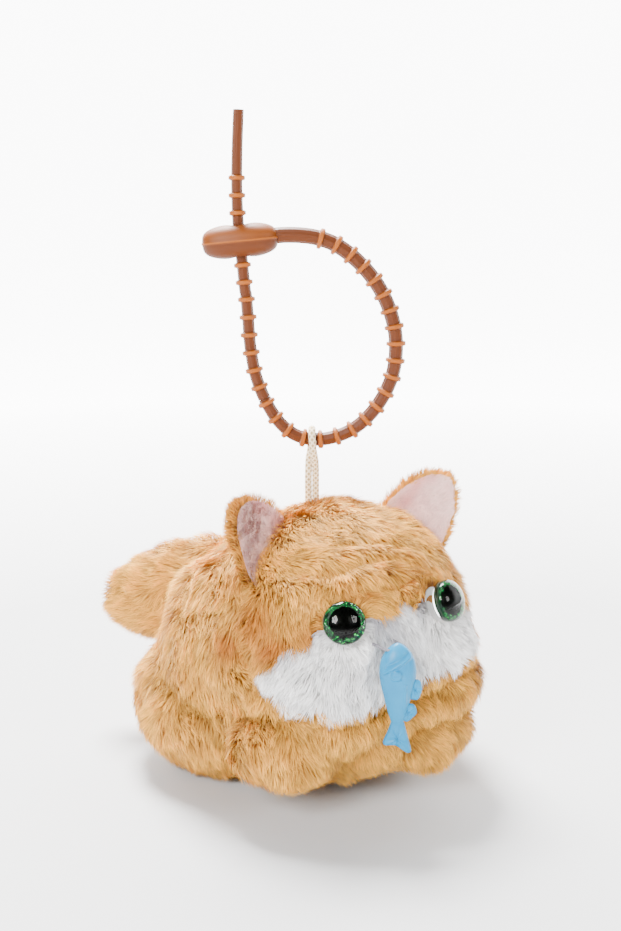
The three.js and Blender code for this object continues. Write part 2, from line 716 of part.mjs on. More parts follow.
// Turns each face of a mirrored geometry round again.
function flip(geometry) {
  const position = geometry.attributes.position.array;
  for (let i = 0; i < position.length; i += 9) {
    for (let k = 0; k < 3; k += 1) {
      const held = position[i + k];
      position[i + k] = position[i + 3 + k];
      position[i + 3 + k] = held;
    }
  }
}

for (const side of [1, -1]) makeEar(side);

// Tail: a stubby flat lobe sewn to the rump, curled to the right side.
const TAIL_ROOT = inBody([-0.082, 0.835, 0.304]);
const TAIL_DIRECTION = new THREE.Vector3(-0.74, 0.62, -0.24).normalize();

function tailSolid(inset, across = 14, rows = 10) {
  const geometry = new THREE.SphereGeometry(1, across, rows);
  geometry.scale(
    TAIL_WIDTH / 2 - inset, TAIL_THICKNESS / 2 - inset, TAIL_LENGTH / 2 - inset,
  );
  const level = new THREE.Vector3(0, 0, 1).cross(TAIL_DIRECTION).normalize();
  const rise = TAIL_DIRECTION.clone().cross(level);
  const middle = vec(TAIL_ROOT).addScaledVector(TAIL_DIRECTION, TAIL_LENGTH / 2 - 12);
  const frame = new THREE.Matrix4().makeBasis(rise, level.negate(), TAIL_DIRECTION);
  frame.setPosition(middle);
  return solid(geometry, frame);
}

const footGap = footRooms(1).add(footRooms(-1));
const tailOuter = tailSolid(0).subtract(clearOfBody).subtract(footGap);
const tailInner = tailSolid(COVER_THICKNESS - GAP);
furPieces.push(["tail_cover", mainPart(tailOuter.subtract(tailInner)), furColour]);
furPieces.push([
  "tail_stuffing",
  mainPart(tailSolid(COVER_THICKNESS).subtract(clearOfBody).subtract(footGap)),
  0xf2efe8,
]);

for (const [name, shape, colour] of furPieces) {
  plush.add(piece(name, shape, colour, 0.95));
}
for (const eye of eyes) plush.add(...eye.meshes);
plush.add(piece("fish_thread", tubeAlong(thread, THREAD_R, 20, 6), 0x8a8a90, 0.8));
plush.add(piece("fish_charm", fish, 0x77bce0, 0.35));

// ---------------------------------------------------------------- whole object

const keychain = new THREE.Group();
keychain.add(strap);
keychain.add(piece("cord_bight", makeBight(), 0xe9dfcb, 0.9));
keychain.add(piece("cord_knot", makeKnot(0), 0xe9dfcb, 0.9));
keychain.add(plush);

export default keychain;
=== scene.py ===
"""Plush keychain: a loaf-shaped plush cat with a small fish in its mouth. A braided cord
ties it to a reusable ribbed silicone strap. Everything is in metres, in the frame of the
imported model: the strap's loop lies in the XZ plane and the cat is turned a little from it."""

import math

import bpy
import numpy as np
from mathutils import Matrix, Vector


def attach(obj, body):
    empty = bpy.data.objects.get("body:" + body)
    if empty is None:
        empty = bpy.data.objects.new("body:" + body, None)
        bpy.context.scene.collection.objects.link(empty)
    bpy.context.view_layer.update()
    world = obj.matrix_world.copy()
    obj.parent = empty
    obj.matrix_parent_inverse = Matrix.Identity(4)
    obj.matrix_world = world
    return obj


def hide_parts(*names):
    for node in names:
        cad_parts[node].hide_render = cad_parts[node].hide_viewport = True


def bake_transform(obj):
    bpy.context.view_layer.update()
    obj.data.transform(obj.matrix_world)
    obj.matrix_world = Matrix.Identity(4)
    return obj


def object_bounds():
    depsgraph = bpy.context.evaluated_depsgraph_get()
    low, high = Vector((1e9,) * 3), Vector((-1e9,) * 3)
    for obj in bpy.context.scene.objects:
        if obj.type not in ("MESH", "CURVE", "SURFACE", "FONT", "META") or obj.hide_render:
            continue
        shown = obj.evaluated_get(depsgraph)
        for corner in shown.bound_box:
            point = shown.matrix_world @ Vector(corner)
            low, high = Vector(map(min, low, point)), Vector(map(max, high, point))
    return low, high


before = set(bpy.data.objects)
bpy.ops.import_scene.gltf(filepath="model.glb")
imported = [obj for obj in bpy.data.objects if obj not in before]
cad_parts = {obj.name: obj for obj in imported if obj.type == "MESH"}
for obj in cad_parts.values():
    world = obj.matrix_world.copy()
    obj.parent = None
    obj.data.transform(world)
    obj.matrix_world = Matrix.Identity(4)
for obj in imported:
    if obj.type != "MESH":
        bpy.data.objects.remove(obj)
cad_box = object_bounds()

# ---------------------------------------------------------------- camera
# A 50 mm lens held a little above the lock and tilted down onto the cat.
CAMERA_PLACE = (-0.00045, -0.390, 0.00307)
CAMERA_TILT = 10  # degrees below level

camera_data = bpy.data.cameras.new("camera")
camera_data.lens = 50
camera_data.sensor_width = 36
camera_data.clip_start = 0.01
camera = bpy.data.objects.new("camera", camera_data)
camera.location = CAMERA_PLACE
camera.rotation_euler = (math.radians(90 - CAMERA_TILT), 0, 0)
bpy.context.scene.collection.objects.link(camera)
bpy.context.scene.camera = camera

# ---------------------------------------------------------------- table and light
# A white seamless sheet that curves up behind the cat, lit by one strong lamp above and behind, a fill
# on each side in front and a dim white room. Away from the cat the sheet also glows by itself: painted
# light.
SHEET_HALF = 3.0
SHEET_CURVE_START = 1.3
SHEET_CURVE_RADIUS = 0.9


def linear(code):
    """An sRGB hex colour as linear red, green and blue."""
    parts = [int(code[i : i + 2], 16) / 255 for i in (1, 3, 5)]
    return [p / 12.92 if p <= 0.04045 else ((p + 0.055) / 1.055) ** 2.4 for p in parts]


def node(tree, kind, settings=None, **links):
    """Adds a node. A setting or link is named for its socket, with _ for a space, or for
    its number as i0, i1. A setting that isn't a socket is an attribute of the node."""
    made = tree.nodes.new(kind)
    for name, value in (settings or {}).items():
        if isinstance(name, str) and hasattr(made, name):
            setattr(made, name, value)
        else:
            made.inputs[name].default_value = value
    for name, source in links.items():
        key = int(name[1:]) if name[0] == "i" and name[1:].isdigit() else name.replace("_", " ")
        tree.links.new(source, made.inputs[key])
    return made


def finish_named(name):
    """A new material with its tree and its shader."""
    made = bpy.data.materials.new(name)
    made.use_nodes = True
    return made, made.node_tree, made.node_tree.nodes["Principled BSDF"]


def surface(name, points, faces, material, smooth=True):
    """A mesh object from an (n, 3) array of places in metres and rows of faces."""
    mesh = bpy.data.meshes.new(name)
    faces = np.asarray(faces, np.int32)
    corners = faces.shape[1]
    mesh.vertices.add(len(points))
    mesh.vertices.foreach_set("co", np.asarray(points, np.float32).ravel())
    mesh.loops.add(faces.size)
    mesh.loops.foreach_set("vertex_index", faces.ravel())
    mesh.polygons.add(len(faces))
    mesh.polygons.foreach_set("loop_start", np.arange(0, faces.size, corners, dtype=np.int32))
    mesh.update(calc_edges=True)
    mesh.polygons.foreach_set("use_smooth", np.full(len(faces), smooth))
    mesh.materials.append(material)
    made = bpy.data.objects.new(name, mesh)
    bpy.context.scene.collection.objects.link(made)
    return made


def sheet_grid(rows, columns, closed_rows=False, closed_columns=False):
    """Quads of a grid of rows x columns points, each way open or closed on itself."""
    i = np.arange(rows if closed_rows else rows - 1)
    j = np.arange(columns if closed_columns else columns - 1)
    i, j = np.meshgrid(i, j, indexing="ij")
    a = i * columns + j
    b = i * columns + (j + 1) % columns
    c = ((i + 1) % rows) * columns + (j + 1) % columns
    d = ((i + 1) % rows) * columns + j
    return np.stack([a, b, c, d], -1).reshape(-1, 4)


floor_z = cad_box[0].z - 0.0003
along = np.linspace(-SHEET_HALF, SHEET_CURVE_START + 3.4, 90)
turn = np.clip((along - SHEET_CURVE_START) / SHEET_CURVE_RADIUS, 0, math.pi / 2)
past = np.maximum(along - SHEET_CURVE_START - SHEET_CURVE_RADIUS * math.pi / 2, 0)
sheet_y = np.minimum(along, SHEET_CURVE_START) + SHEET_CURVE_RADIUS * np.sin(turn)
sheet_z = SHEET_CURVE_RADIUS * (1 - np.cos(turn)) + past
across = np.linspace(-SHEET_HALF, SHEET_HALF, 30)
sheet_points = np.stack(
    [
        np.repeat(across[None, :], len(along), 0),
        np.repeat(sheet_y[:, None], len(across), 1),
        np.repeat(sheet_z[:, None] + floor_z, len(across), 1),
    ],
    -1,
).reshape(-1, 3)
paper, tree, shader = finish_named("white_paper")
shader.inputs["Base Color"].default_value = (*linear("#C8C8C8"), 1)
shader.inputs["Roughness"].default_value = 0.9
shader.inputs["Specular IOR Level"].default_value = 0.2
# Painted light: the sheet glows by itself, more and more away from the cat, but not in front of it.
place = node(tree, "ShaderNodeTexCoord")
away = node(tree, "ShaderNodeVectorMath", {"operation": "LENGTH"}, i0=place.outputs["Object"])
glow = node(
    tree, "ShaderNodeMapRange",
    {"From Min": 0.27, "From Max": 0.95, "To Min": 0.0, "To Max": 9.0},
    Value=away.outputs["Value"],
)
axes = node(tree, "ShaderNodeSeparateXYZ", {}, Vector=place.outputs["Object"])
behind = node(tree, "ShaderNodeMapRange", {"From Min": -0.45, "From Max": -0.1}, Value=axes.outputs["Y"])
strength = node(
    tree, "ShaderNodeMath", {"operation": "MULTIPLY"},
    i0=glow.outputs["Result"], i1=behind.outputs["Result"],
)
shader.inputs["Emission Color"].default_value = (1, 1, 1, 1)
tree.links.new(strength.outputs["Value"], shader.inputs["Emission Strength"])
backdrop = surface("backdrop", sheet_points, sheet_grid(len(along), len(across)), paper)


def soft_light(name, place, aim, size, power):
    """A round area light that faces a point."""
    data = bpy.data.lights.new(name, "AREA")
    data.shape = "DISK"
    data.size = size
    data.energy = power
    made = bpy.data.objects.new(name, data)
    made.location = place
    way = Vector(aim) - Vector(place)
    made.rotation_euler = way.to_track_quat("-Z", "Y").to_euler()
    bpy.context.scene.collection.objects.link(made)


soft_light("overhead", (-0.14, 0.34, 0.66), (0, 0, -0.10), 0.35, 50.0)
soft_light("front_fill", (-0.50, -0.95, 0.48), (0, 0, -0.12), 0.55, 30.0)
soft_light("side_fill", (0.80, -0.75, 0.45), (0, 0, -0.10), 0.5, 9.0)
room = bpy.data.worlds.new("room")
room.use_nodes = True
room.node_tree.nodes["Background"].inputs["Color"].default_value = (1, 1, 1, 1)
room.node_tree.nodes["Background"].inputs["Strength"].default_value = 0.16
bpy.context.scene.world = room

# ---------------------------------------------------------------- cord
# A braided cream cord, about 2 mm across. It goes over the strap, its two legs run side by
# side into the head, and a knot behind the cloth holds it. The loop and the legs take 64 mm
# of it, and the knot's turns 29 mm.
MM = 0.001
CORD_R = 1.08
CORD_LEG_SPREAD = 1.1
BRAID_PITCH = 3.2  # one strand's turn along the cord, drawn a little coarse to show
STRAP_BOTTOM = -57.5
HEAD_TOP = -75.8
SADDLE_R = 3.1
KNOT_DEPTH = 9
KNOT_R = 2.3
KNOT_TALL = 2.4


def smooth_path(points, step):
    """Places at even steps on a centripetal Catmull-Rom curve: between two points, a cubic
    blend whose knots are spaced by the square root of the distance between points."""
    p = np.asarray(points, float)
    p = np.vstack([2 * p[0] - p[1], p, 2 * p[-1] - p[-2]])
    knots = np.concatenate([[0], np.cumsum(np.linalg.norm(np.diff(p, axis=0), axis=1) ** 0.5)])
    fine = []
    for i in range(1, len(p) - 2):
        t0, t1, t2, t3 = knots[i - 1 : i + 3]
        t = np.linspace(t1, t2, 60, endpoint=i == len(p) - 3)[:, None]
        a1 = (t1 - t) / (t1 - t0) * p[i - 1] + (t - t0) / (t1 - t0) * p[i]
        a2 = (t2 - t) / (t2 - t1) * p[i] + (t - t1) / (t2 - t1) * p[i + 1]
        a3 = (t3 - t) / (t3 - t2) * p[i + 1] + (t - t2) / (t3 - t2) * p[i + 2]
        b1 = (t2 - t) / (t2 - t0) * a1 + (t - t0) / (t2 - t0) * a2
        b2 = (t3 - t) / (t3 - t1) * a2 + (t - t1) / (t3 - t1) * a3
        fine.append((t2 - t) / (t2 - t1) * b1 + (t - t1) / (t2 - t1) * b2)
    fine = np.vstack(fine)
    run = np.concatenate([[0], np.cumsum(np.linalg.norm(np.diff(fine, axis=0), axis=1))])
    places = np.linspace(0, run[-1], max(int(run[-1] / step), 2) + 1)
    return np.stack([np.interp(places, run, fine[:, k]) for k in range(3)], -1), places


def sides_of(path, start):
    """Two directions square to a path at each place, carried along it without twist."""
    way = np.gradient(path, axis=0)
    way /= np.linalg.norm(way, axis=1)[:, None]
    first = np.empty_like(path)
    held = np.asarray(start, float)
    for i, d in enumerate(way):
        held = held - (held @ d) * d
        held /= np.linalg.norm(held)
        first[i] = held
    return first, np.cross(way, first)


def swept(name, path, start, radius, material, around):
    """A closed bar: each place on the path carries a ring of points at radius(u) mm."""
    one, two = sides_of(path, start)
    u = np.linspace(0, 2 * math.pi, around, endpoint=False)
    r = radius(u[None, :])
    ring = np.cos(u)[None, :, None] * one[:, None] + np.sin(u)[None, :, None] * two[:, None]
    points = (path[:, None] + ring * r[..., None]).reshape(-1, 3)
    points = np.vstack([points, path[0], path[-1]]) * MM
    return closed_tube(name, points, len(path), around, material)


def closed_tube(name, points, rows, around, material):
    """A tube of rows rings, with its last two points the middles of its two ends."""
    quads = sheet_grid(rows, around, closed_columns=True)
    j = np.arange(around)
    after = (j + 1) % around
    last = (rows - 1) * around
    cap_a = np.stack([np.full(around, rows * around), after, j], -1)
    cap_b = np.stack([np.full(around, rows * around + 1), last + j, last + after], -1)
    mesh = bpy.data.meshes.new(name)
    faces = quads.tolist() + cap_a.tolist() + cap_b.tolist()
    mesh.from_pydata(points.tolist(), [], faces)
    mesh.shade_smooth()
    mesh.materials.append(material)
    made = bpy.data.objects.new(name, mesh)
    bpy.context.scene.collection.objects.link(made)
    return made


# Braided polyester: matt, soft white strands that cross in a V, with painted shade darkening the low
# places where they cross.
cord_cloth, tree, shader = finish_named("braided_polyester")
place = node(tree, "ShaderNodeTexCoord")
speck = node(tree, "ShaderNodeTexNoise", {"Scale": 900, "Detail": 2}, Vector=place.outputs["Object"])
braid_shade = node(tree, "ShaderNodeAttribute", {"attribute_name": "height"})
ramp = node(tree, "ShaderNodeMapRange", {"From Min": -0.1, "From Max": 1.0}, Value=braid_shade.outputs["Fac"])
tint = node(tree, "ShaderNodeMix", {"data_type": "RGBA"}, Factor=ramp.outputs["Result"])
tint.inputs["A"].default_value = (*linear("#A88C5C"), 1)
tint.inputs["B"].default_value = (*linear("#FDEBCB"), 1)
tree.links.new(tint.outputs["Result"], shader.inputs["Base Color"])
bump = node(tree, "ShaderNodeBump", {"Strength": 0.25, "Distance": 0.0002}, Height=speck.outputs["Fac"])
tree.links.new(bump.outputs["Normal"], shader.inputs["Normal"])
shader.inputs["Roughness"].default_value = 0.85
shader.inputs["Sheen Weight"].default_value = 0.2

over = [
    (0, SADDLE_R * -math.cos(t), STRAP_BOTTOM + SADDLE_R * math.sin(t))
    for t in np.linspace(0, math.pi, 9)[1:-1]
]
leg = [
    (0.15, -SADDLE_R, STRAP_BOTTOM - 0.4),
    (0.4, -SADDLE_R + 0.5, STRAP_BOTTOM - 3.2),
    (0.95, -1.2, STRAP_BOTTOM - 6.6),
    (CORD_LEG_SPREAD, 0, STRAP_BOTTOM - 10),
    (CORD_LEG_SPREAD, 0, HEAD_TOP),
    (CORD_LEG_SPREAD, 0, HEAD_TOP - KNOT_DEPTH + 1),
]
route = leg[::-1] + over + [(-x, -y, z) for x, y, z in leg]
cord_path, cord_run = smooth_path(route, 0.12)


def braid(u):
    """Strands of two families that wind opposite ways; where they cross, one goes under."""
    wind = 2 * math.pi * cord_run[:, None] / BRAID_PITCH
    left = np.abs(np.sin(2 * u + wind))
    right = np.abs(np.sin(2 * u - wind))
    return np.maximum(left, right) ** 1.5


cord_loop = swept(
    "cord_loop", cord_path, (1, 0, 0), lambda u: CORD_R * (0.88 + 0.14 * braid(u)), cord_cloth, 24
)
# The braid's height at each point; the cord's colour is painted darker with it, as shade, where it is
# low.
height = cord_loop.data.attributes.new("height", "FLOAT", "POINT")
heights = np.append(braid(np.linspace(0, 2 * math.pi, 24, endpoint=False)[None, :]).ravel(), [1, 1])
height.data.foreach_set("value", ((heights - 0.55) / 0.45).astype(np.float32))
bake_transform(cord_loop)
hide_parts("cord_bight")

# The knot: one strand wound twice round the legs, pulled tight.
wind = np.linspace(0, 4 * math.pi, 60)
knot_z = HEAD_TOP - KNOT_DEPTH
climb = knot_z + KNOT_TALL * (wind / wind[-1] - 0.5)
knot_route = np.stack([KNOT_R * np.cos(wind), KNOT_R * np.sin(wind), climb], -1)
knot_path, _ = smooth_path(knot_route, 0.3)


def knot_radius(u):
    """The plain cord's radius at every place of the knot."""
    return np.full((len(knot_path), u.shape[1]), CORD_R)


cord_knot = swept("cord_knot_wraps", knot_path, (0, 0, 1), knot_radius, cord_cloth, 12)
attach(cord_knot, "cord")
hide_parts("cord_knot")

# ---------------------------------------------------------------- strap
# One moulding of silicone: a thin ribbed strap with a thicker lock at its end. The tail
# goes through the lock, and its ribs catch there.
NECK_R = 2.2
TAIL_R = 1.45
RIB_PITCH = 5.1
RIB_PITCH_LEFT = 5.33
RIB_WIDTH = 1.5
RIB_HEIGHT = 0.95
LOCK_HALF = (11.2, 6.0, 5.3)
LOCK_AT = np.array([-21.4, 0, 2.1])
LOCK_TILT = math.radians(5.4)
LOOP_ROUTE = [
    (-13, 3.3), (-9, 3.8), (-3, 3.7), (2, 2.9), (7, 1), (13, -3.3), (19.4, -10.6),
    (23.6, -19.2), (25.3, -28.4), (24.1, -38.6), (19.2, -48), (12.6, -54.3), (5.6, -57.1),
    (0, -57.5), (-5, -56.2), (-9.6, -52.6), (-13.6, -46.6), (-17, -38), (-18.6, -29),
    (-19.2, -20.5), (-19.75, -13.6),
]
SPLIT = -45.0  # the height, on the side under the lock, where the tail's run begins

# Silicone: matt to satin, with a fine dusty bloom; painted light makes the ribs paler than the core, and
# painted shade keeps the grooves between them dark.
silicone, tree, shader = finish_named("moulded_silicone")
place = node(tree, "ShaderNodeTexCoord")
cloud = node(tree, "ShaderNodeTexNoise", {"Scale": 110, "Detail": 4}, Vector=place.outputs["Object"])
dust = node(tree, "ShaderNodeTexNoise", {"Scale": 1400, "Detail": 2}, Vector=place.outputs["Object"])
painted_light = node(tree, "ShaderNodeAttribute", {"attribute_name": "painted_light"})
tint = node(tree, "ShaderNodeMix", {"data_type": "RGBA"}, Factor=painted_light.outputs["Fac"])
tint.inputs["A"].default_value = (*linear("#562602"), 1)
tint.inputs["B"].default_value = (*linear("#964E0E"), 1)
shade = node(tree, "ShaderNodeMapRange", {"To Min": 0.90, "To Max": 1.08}, Value=cloud.outputs["Fac"])
hue = node(
    tree, "ShaderNodeHueSaturation", {}, Color=tint.outputs["Result"], Value=shade.outputs["Result"]
)
tree.links.new(hue.outputs["Color"], shader.inputs["Base Color"])
bump = node(tree, "ShaderNodeBump", {"Strength": 0.12, "Distance": 0.0001}, Height=dust.outputs["Fac"])
tree.links.new(bump.outputs["Normal"], shader.inputs["Normal"])
shader.inputs["Roughness"].default_value = 0.52
shader.inputs["Specular IOR Level"].default_value = 0.25

loop_path, loop_run = smooth_path([(x, 0, z) for x, z in LOOP_ROUTE], 0.16)
lock_up = np.array([-math.sin(LOCK_TILT), 0, math.cos(LOCK_TILT)])
lock_top = LOCK_AT + lock_up * LOCK_HALF[2]
TAIL_ROUTE = [
    *[LOCK_AT + lock_up * d for d in (-15.1, -8, 0)], lock_top,
    (lock_top[0] - 0.3, 0, LOCK_AT[2] + 15.1), (lock_top[0] - 0.1, 0, LOCK_AT[2] + 26.5),
    (lock_top[0] + 0.4, 0, LOCK_AT[2] + 37.8),
]
tail_path, tail_run = smooth_path(TAIL_ROUTE, 0.16)
strap_length = loop_run[-1] + tail_run[-1]
low_point = loop_run[np.argmin(np.linalg.norm(loop_path - (0, 0, STRAP_BOTTOM), axis=1))]
ribs_before = int((low_point - 9) // RIB_PITCH)
steps = np.arange(-ribs_before, 60) + 0.5
loop_ribs = low_point + steps * np.where(steps < 0, RIB_PITCH, RIB_PITCH_LEFT)
loop_ribs = loop_ribs[loop_ribs < loop_run[-1] - 1]
tail_ribs = np.arange(RIB_PITCH / 2, 37, RIB_PITCH) + loop_run[-1] + 0.3


def strap_radius(run, ribs, u):
    """The core shrinks evenly along the strap and has eight shallow flutes; each rib is a
    rounded ring, flat on top, with soft shoulders."""
    core = NECK_R + (TAIL_R - NECK_R) * run / strap_length
    near = np.min(np.abs(run[:, None] - ribs[None, :]), axis=1)
    rib = np.clip((RIB_WIDTH / 2 + 0.12 - near) / 0.42, 0, 1)
    rib = (rib * rib * (3 - 2 * rib))[:, None]
    flute = 0.085 * np.cos(8 * u) * (1 - rib)
    return (core[:, None] * (1 + flute) + RIB_HEIGHT * rib), rib


def strap_piece(name, path, run, ribs):
    """A length of strap, with an attribute that says how far each point is up a rib; the silicone's
    colour makes it painted light, paler up the ribs and darker in the grooves.
    """
    around = 32
    made = swept(name, path, (0, 1, 0), lambda u: strap_radius(run, ribs, u)[0], silicone, around)
    rib = np.repeat(strap_radius(run, ribs, np.zeros((1, 1)))[1], around, 1).ravel()
    painted_light = made.data.attributes.new("painted_light", "FLOAT", "POINT")
    painted_light.data.foreach_set("value", np.append(rib, [0, 0]).astype(np.float32))
    return made


on_left = (loop_path[:, 2] > SPLIT) & (loop_run > low_point)
strap_loop = strap_piece("strap_loop", loop_path[~on_left], loop_run[~on_left], loop_ribs)
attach(strap_loop, "strap")
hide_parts("strap_loop_and_lock")
left_path = np.vstack([loop_path[on_left], tail_path[2:]])
left_run = np.concatenate([loop_run[on_left], loop_run[-1] + tail_run[2:]])
strap_run = strap_piece("strap_run", left_path, left_run, np.append(loop_ribs, tail_ribs))
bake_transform(strap_run)
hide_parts("strap_tail")

# The lock: a rounded lozenge with a parting line round its middle and a dimple at each
# mouth of the bore.
ROWS, AROUND = 72, 120
v = np.linspace(-math.pi / 2, math.pi / 2, ROWS + 2)[1:-1, None]
u = np.linspace(0, 2 * math.pi, AROUND, endpoint=False)[None, :]
reach_x = np.sin(v) + 0 * u
round_r = np.cos(v) ** 0.55
lock_y = LOCK_HALF[1] * round_r * np.sign(np.cos(u)) * np.abs(np.cos(u)) ** 0.92
lock_z = LOCK_HALF[2] * round_r * np.sign(np.sin(u)) * np.abs(np.sin(u)) ** 0.9
lock_x = LOCK_HALF[0] * reach_x
ridge = 0.26 * np.exp(-((lock_z / 0.26) ** 2))
lock_y = lock_y + np.sign(lock_y) * ridge
lock_x = lock_x + np.sign(lock_x) * ridge * np.abs(reach_x) ** 6
lock_z = lock_z * (1 - 0.16 * np.exp(-((lock_x**2 + lock_y**2) / 3.0**2)))
lock_points = np.stack([lock_x, lock_y, lock_z], -1).reshape(-1, 3)
lock_points = np.vstack([lock_points, [-LOCK_HALF[0] - 0.3, 0, 0], [LOCK_HALF[0], 0, 0]])
lean = np.array(
    [
        [math.cos(LOCK_TILT), 0, math.sin(LOCK_TILT)],
        [0, 1, 0],
        [-math.sin(LOCK_TILT), 0, math.cos(LOCK_TILT)],
    ]
)
lock_points = lock_points @ lean + LOCK_AT
strap_lock = closed_tube("strap_lock", lock_points * MM, ROWS, AROUND, silicone)
# Painted light: the lock is paler on its top and along its parting line, and darker underneath.
lock_painted_light = np.clip(0.15 + 0.25 * np.tanh(lock_z / 1.2) + 0.9 * ridge / ridge.max(), 0, 1)
painted_light = strap_lock.data.attributes.new("painted_light", "FLOAT", "POINT")
painted_light.data.foreach_set("value", np.append(lock_painted_light.ravel(), [0, 0]).astype(np.float32))
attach(strap_lock, "strap")
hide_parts("strap_loop_and_lock")

# ---------------------------------------------------------------- body of the cat
# Long-pile plush sewn over a firm ball of polyester fibre: a face panel, a white muzzle
# panel, two side panels and a belly panel. The cloth is a closed skin a few millimetres
# under the fur's outline, and each panel's fur is real strands rooted in it.
PLUSH_TURN = math.radians(30)
HALF = np.array([49, 39.5, 39.5])
CAT_MIDDLE = np.array([0.166, 1.712, -120.004])
BELLY_FLAT = 41.5
PILE_DEPTH = 3.6  # from the fur's outline in to the cloth
FUR_LENGTH = 5.8
FUR_WIDTH = 0.25  # a few real hairs in each strand, so that it shows

BODY_MASSES = [
    ((0, 0.144, -0.1), (1, 1, 1)),  # rump and back
    ((0, -0.309, 0.162), (0.888, 1.02, 1)),  # head
    ((0.306, -0.823, -0.114), (0.469, 0.557, 0.456)),  # muzzle, both sides of the mouth
    ((0, -0.532, -0.456), (0.776, 0.684, 0.468)),  # chest
]
FOLDS = [  # (places in mm from the cat's middle, depth, half width)
    ([(-26, -31, 31), (-17, -39, 31.4), (-7.9, -40.2, 33.9), (3.4, -41, 33.8), (15, -41.7, 29.5)],
     1.6, 1.7),
    ([(-14, -33, 38), (-3.1, -35.2, 38.7), (9, -37, 36)], 1.3, 1.6),
    ([(-25, -37, 25), (-15, -43.9, 26.5), (-6.4, -45.7, 27.5), (1.9, -45.8, 28.1),
      (12, -44.2, 27.9)], 1.5, 1.6),
    ([(-36.2, -22.8, 25.8), (-40.5, -27.8, 7.9), (-39.5, -33.7, -0.7), (-37.7, -40.8, -5.1)],
     2.2, 2.4),
    ([(36.2, -22.8, 25.8), (40.5, -27.8, 7.9), (39.5, -33.7, -0.7), (37.7, -40.8, -5.1)],
     2.2, 2.4),
    ([(-36, -42, -7), (-24, -52, -9.5), (-11, -55, -8.5), (0, -54, -7), (11, -55, -4),
      (24, -52, -2), (36, -42, -1)], 3.2, 3.0),
    ([(0, -56, 14), (0, -57, 4), (0, -55, -6)], 1.6, 2.6),
]
HIND_FOOT = np.array([[0.602, 0.362, -0.524], [0.465, 0.808, 0.585]])  # shares of HALF
FRONT_PAWS = {"left": (15, -35.5, -20), "right": (-26, -31, -19)}
FRONT_PAW_RADII = np.array([18.5, 17.5, 14.5])
LIMBS = {}  # name: (middle, half sizes)
for side, sign in (("left", 1), ("right", -1)):
    LIMBS["hind_foot_" + side] = (HIND_FOOT[0] * HALF * (sign, 1, 1), HIND_FOOT[1] * HALF)
    LIMBS["front_paw_" + side] = (np.array(FRONT_PAWS[side]), FRONT_PAW_RADII)
TAIL_ROOT = np.array([-4, 33, 12])
TAIL_WAY = np.array([-0.74, 0.62, -0.24]) / np.linalg.norm([-0.74, 0.62, -0.24])
TAIL_HALF = np.array([18, 11.5, 32])


def to_world(points):
    """From millimetres about the cat's middle to metres in the frame."""
    c, s = math.cos(PLUSH_TURN), math.sin(PLUSH_TURN)
    turn = np.array([[c, s, 0], [-s, c, 0], [0, 0, 1]])
    return (np.asarray(points) @ turn + CAT_MIDDLE) * MM


def outside(points, masses, soft=3.0):
    """How far places are outside a smooth blend of ellipsoids, about, in mm: minus the
    log of a sum of exponentials of the distance to each one, mirrored when off centre."""
    total = 0
    for centre, radii in masses:
        for side in (1,) if centre[0] == 0 else (1, -1):
            offset = (points - np.array(centre) * HALF * (side, 1, 1)) / (np.array(radii) * HALF)
            far = np.linalg.norm(offset, axis=-1)
            slope = np.linalg.norm(offset / (np.array(radii) * HALF), axis=-1) + 1e-9
            total = total + np.exp(-np.clip(far * (far - 1) / slope / soft, -40, 40))
    return -soft * np.log(total + 1e-18)


def waves(points, size, count, seed):
    """A smooth random field and its slope: sine waves of about one size in mm, in random
    directions, summed."""
    rng = np.random.default_rng(seed)
    ways = rng.normal(size=(count, 3))
    ways *= 2 * math.pi / np.linalg.norm(ways, axis=1)[:, None]
    ways /= size * rng.uniform(0.7, 1.5, (count, 1))
    phase = points @ ways.T + rng.uniform(0, 2 * math.pi, count)
    scale = math.sqrt(2 / count)
    return np.sin(phase).sum(1) * scale, (np.cos(phase) @ ways) * scale


def to_line(points, line):
    """Distance in mm from places to a line of joined points."""
    best = np.full(len(points), 1e9)
    for a, b in zip(np.array(line[:-1], float), np.array(line[1:], float)):
        t = np.clip((points - a) @ (b - a) / ((b - a) @ (b - a)), 0, 1)[:, None]
        best = np.minimum(best, np.linalg.norm(points - a - t * (b - a), axis=1))
    return best


def ball_grid(rows, around):
    """Directions over a ball, in rows from the top pole down, and the triangles between."""
    v = np.linspace(0, math.pi, rows + 2)[1:-1, None]
    u = np.linspace(0, 2 * math.pi, around, endpoint=False)[None, :]
    ways = np.stack([np.sin(v) * np.cos(u), np.sin(v) * np.sin(u), np.cos(v) + 0 * u], -1)
    ways = np.vstack([ways.reshape(-1, 3), [0, 0, 1], [0, 0, -1]])
    quads = sheet_grid(rows, around, closed_columns=True)
    tris = np.vstack([quads[:, [0, 2, 1]], quads[:, [0, 3, 2]]])
    j = np.arange(around)
    after = (j + 1) % around
    top = np.stack([np.full(around, rows * around), j, after], -1)
    low = (rows - 1) * around
    foot = np.stack([np.full(around, rows * around + 1), low + after, low + j], -1)
    return ways, np.vstack([tris, top, foot])


def point_normals(points, tris):
    """The area-weighted mean of the normals of the triangles at each point."""
    a, b, c = (points[tris[:, k]] for k in range(3))
    face = np.cross(b - a, c - a)
    total = np.zeros_like(points)
    for k in range(3):
        np.add.at(total, tris[:, k], face)
    return total / (np.linalg.norm(total, axis=1)[:, None] + 1e-12)


def fold_depth(points):
    """The depth in mm of the deepest sewn fold at each place: each one is a Gaussian of
    the distance to its line."""
    depths = [deep * np.exp(-((to_line(points, line) / wide) ** 2)) for line, deep, wide in FOLDS]
    return np.max(depths, axis=0)


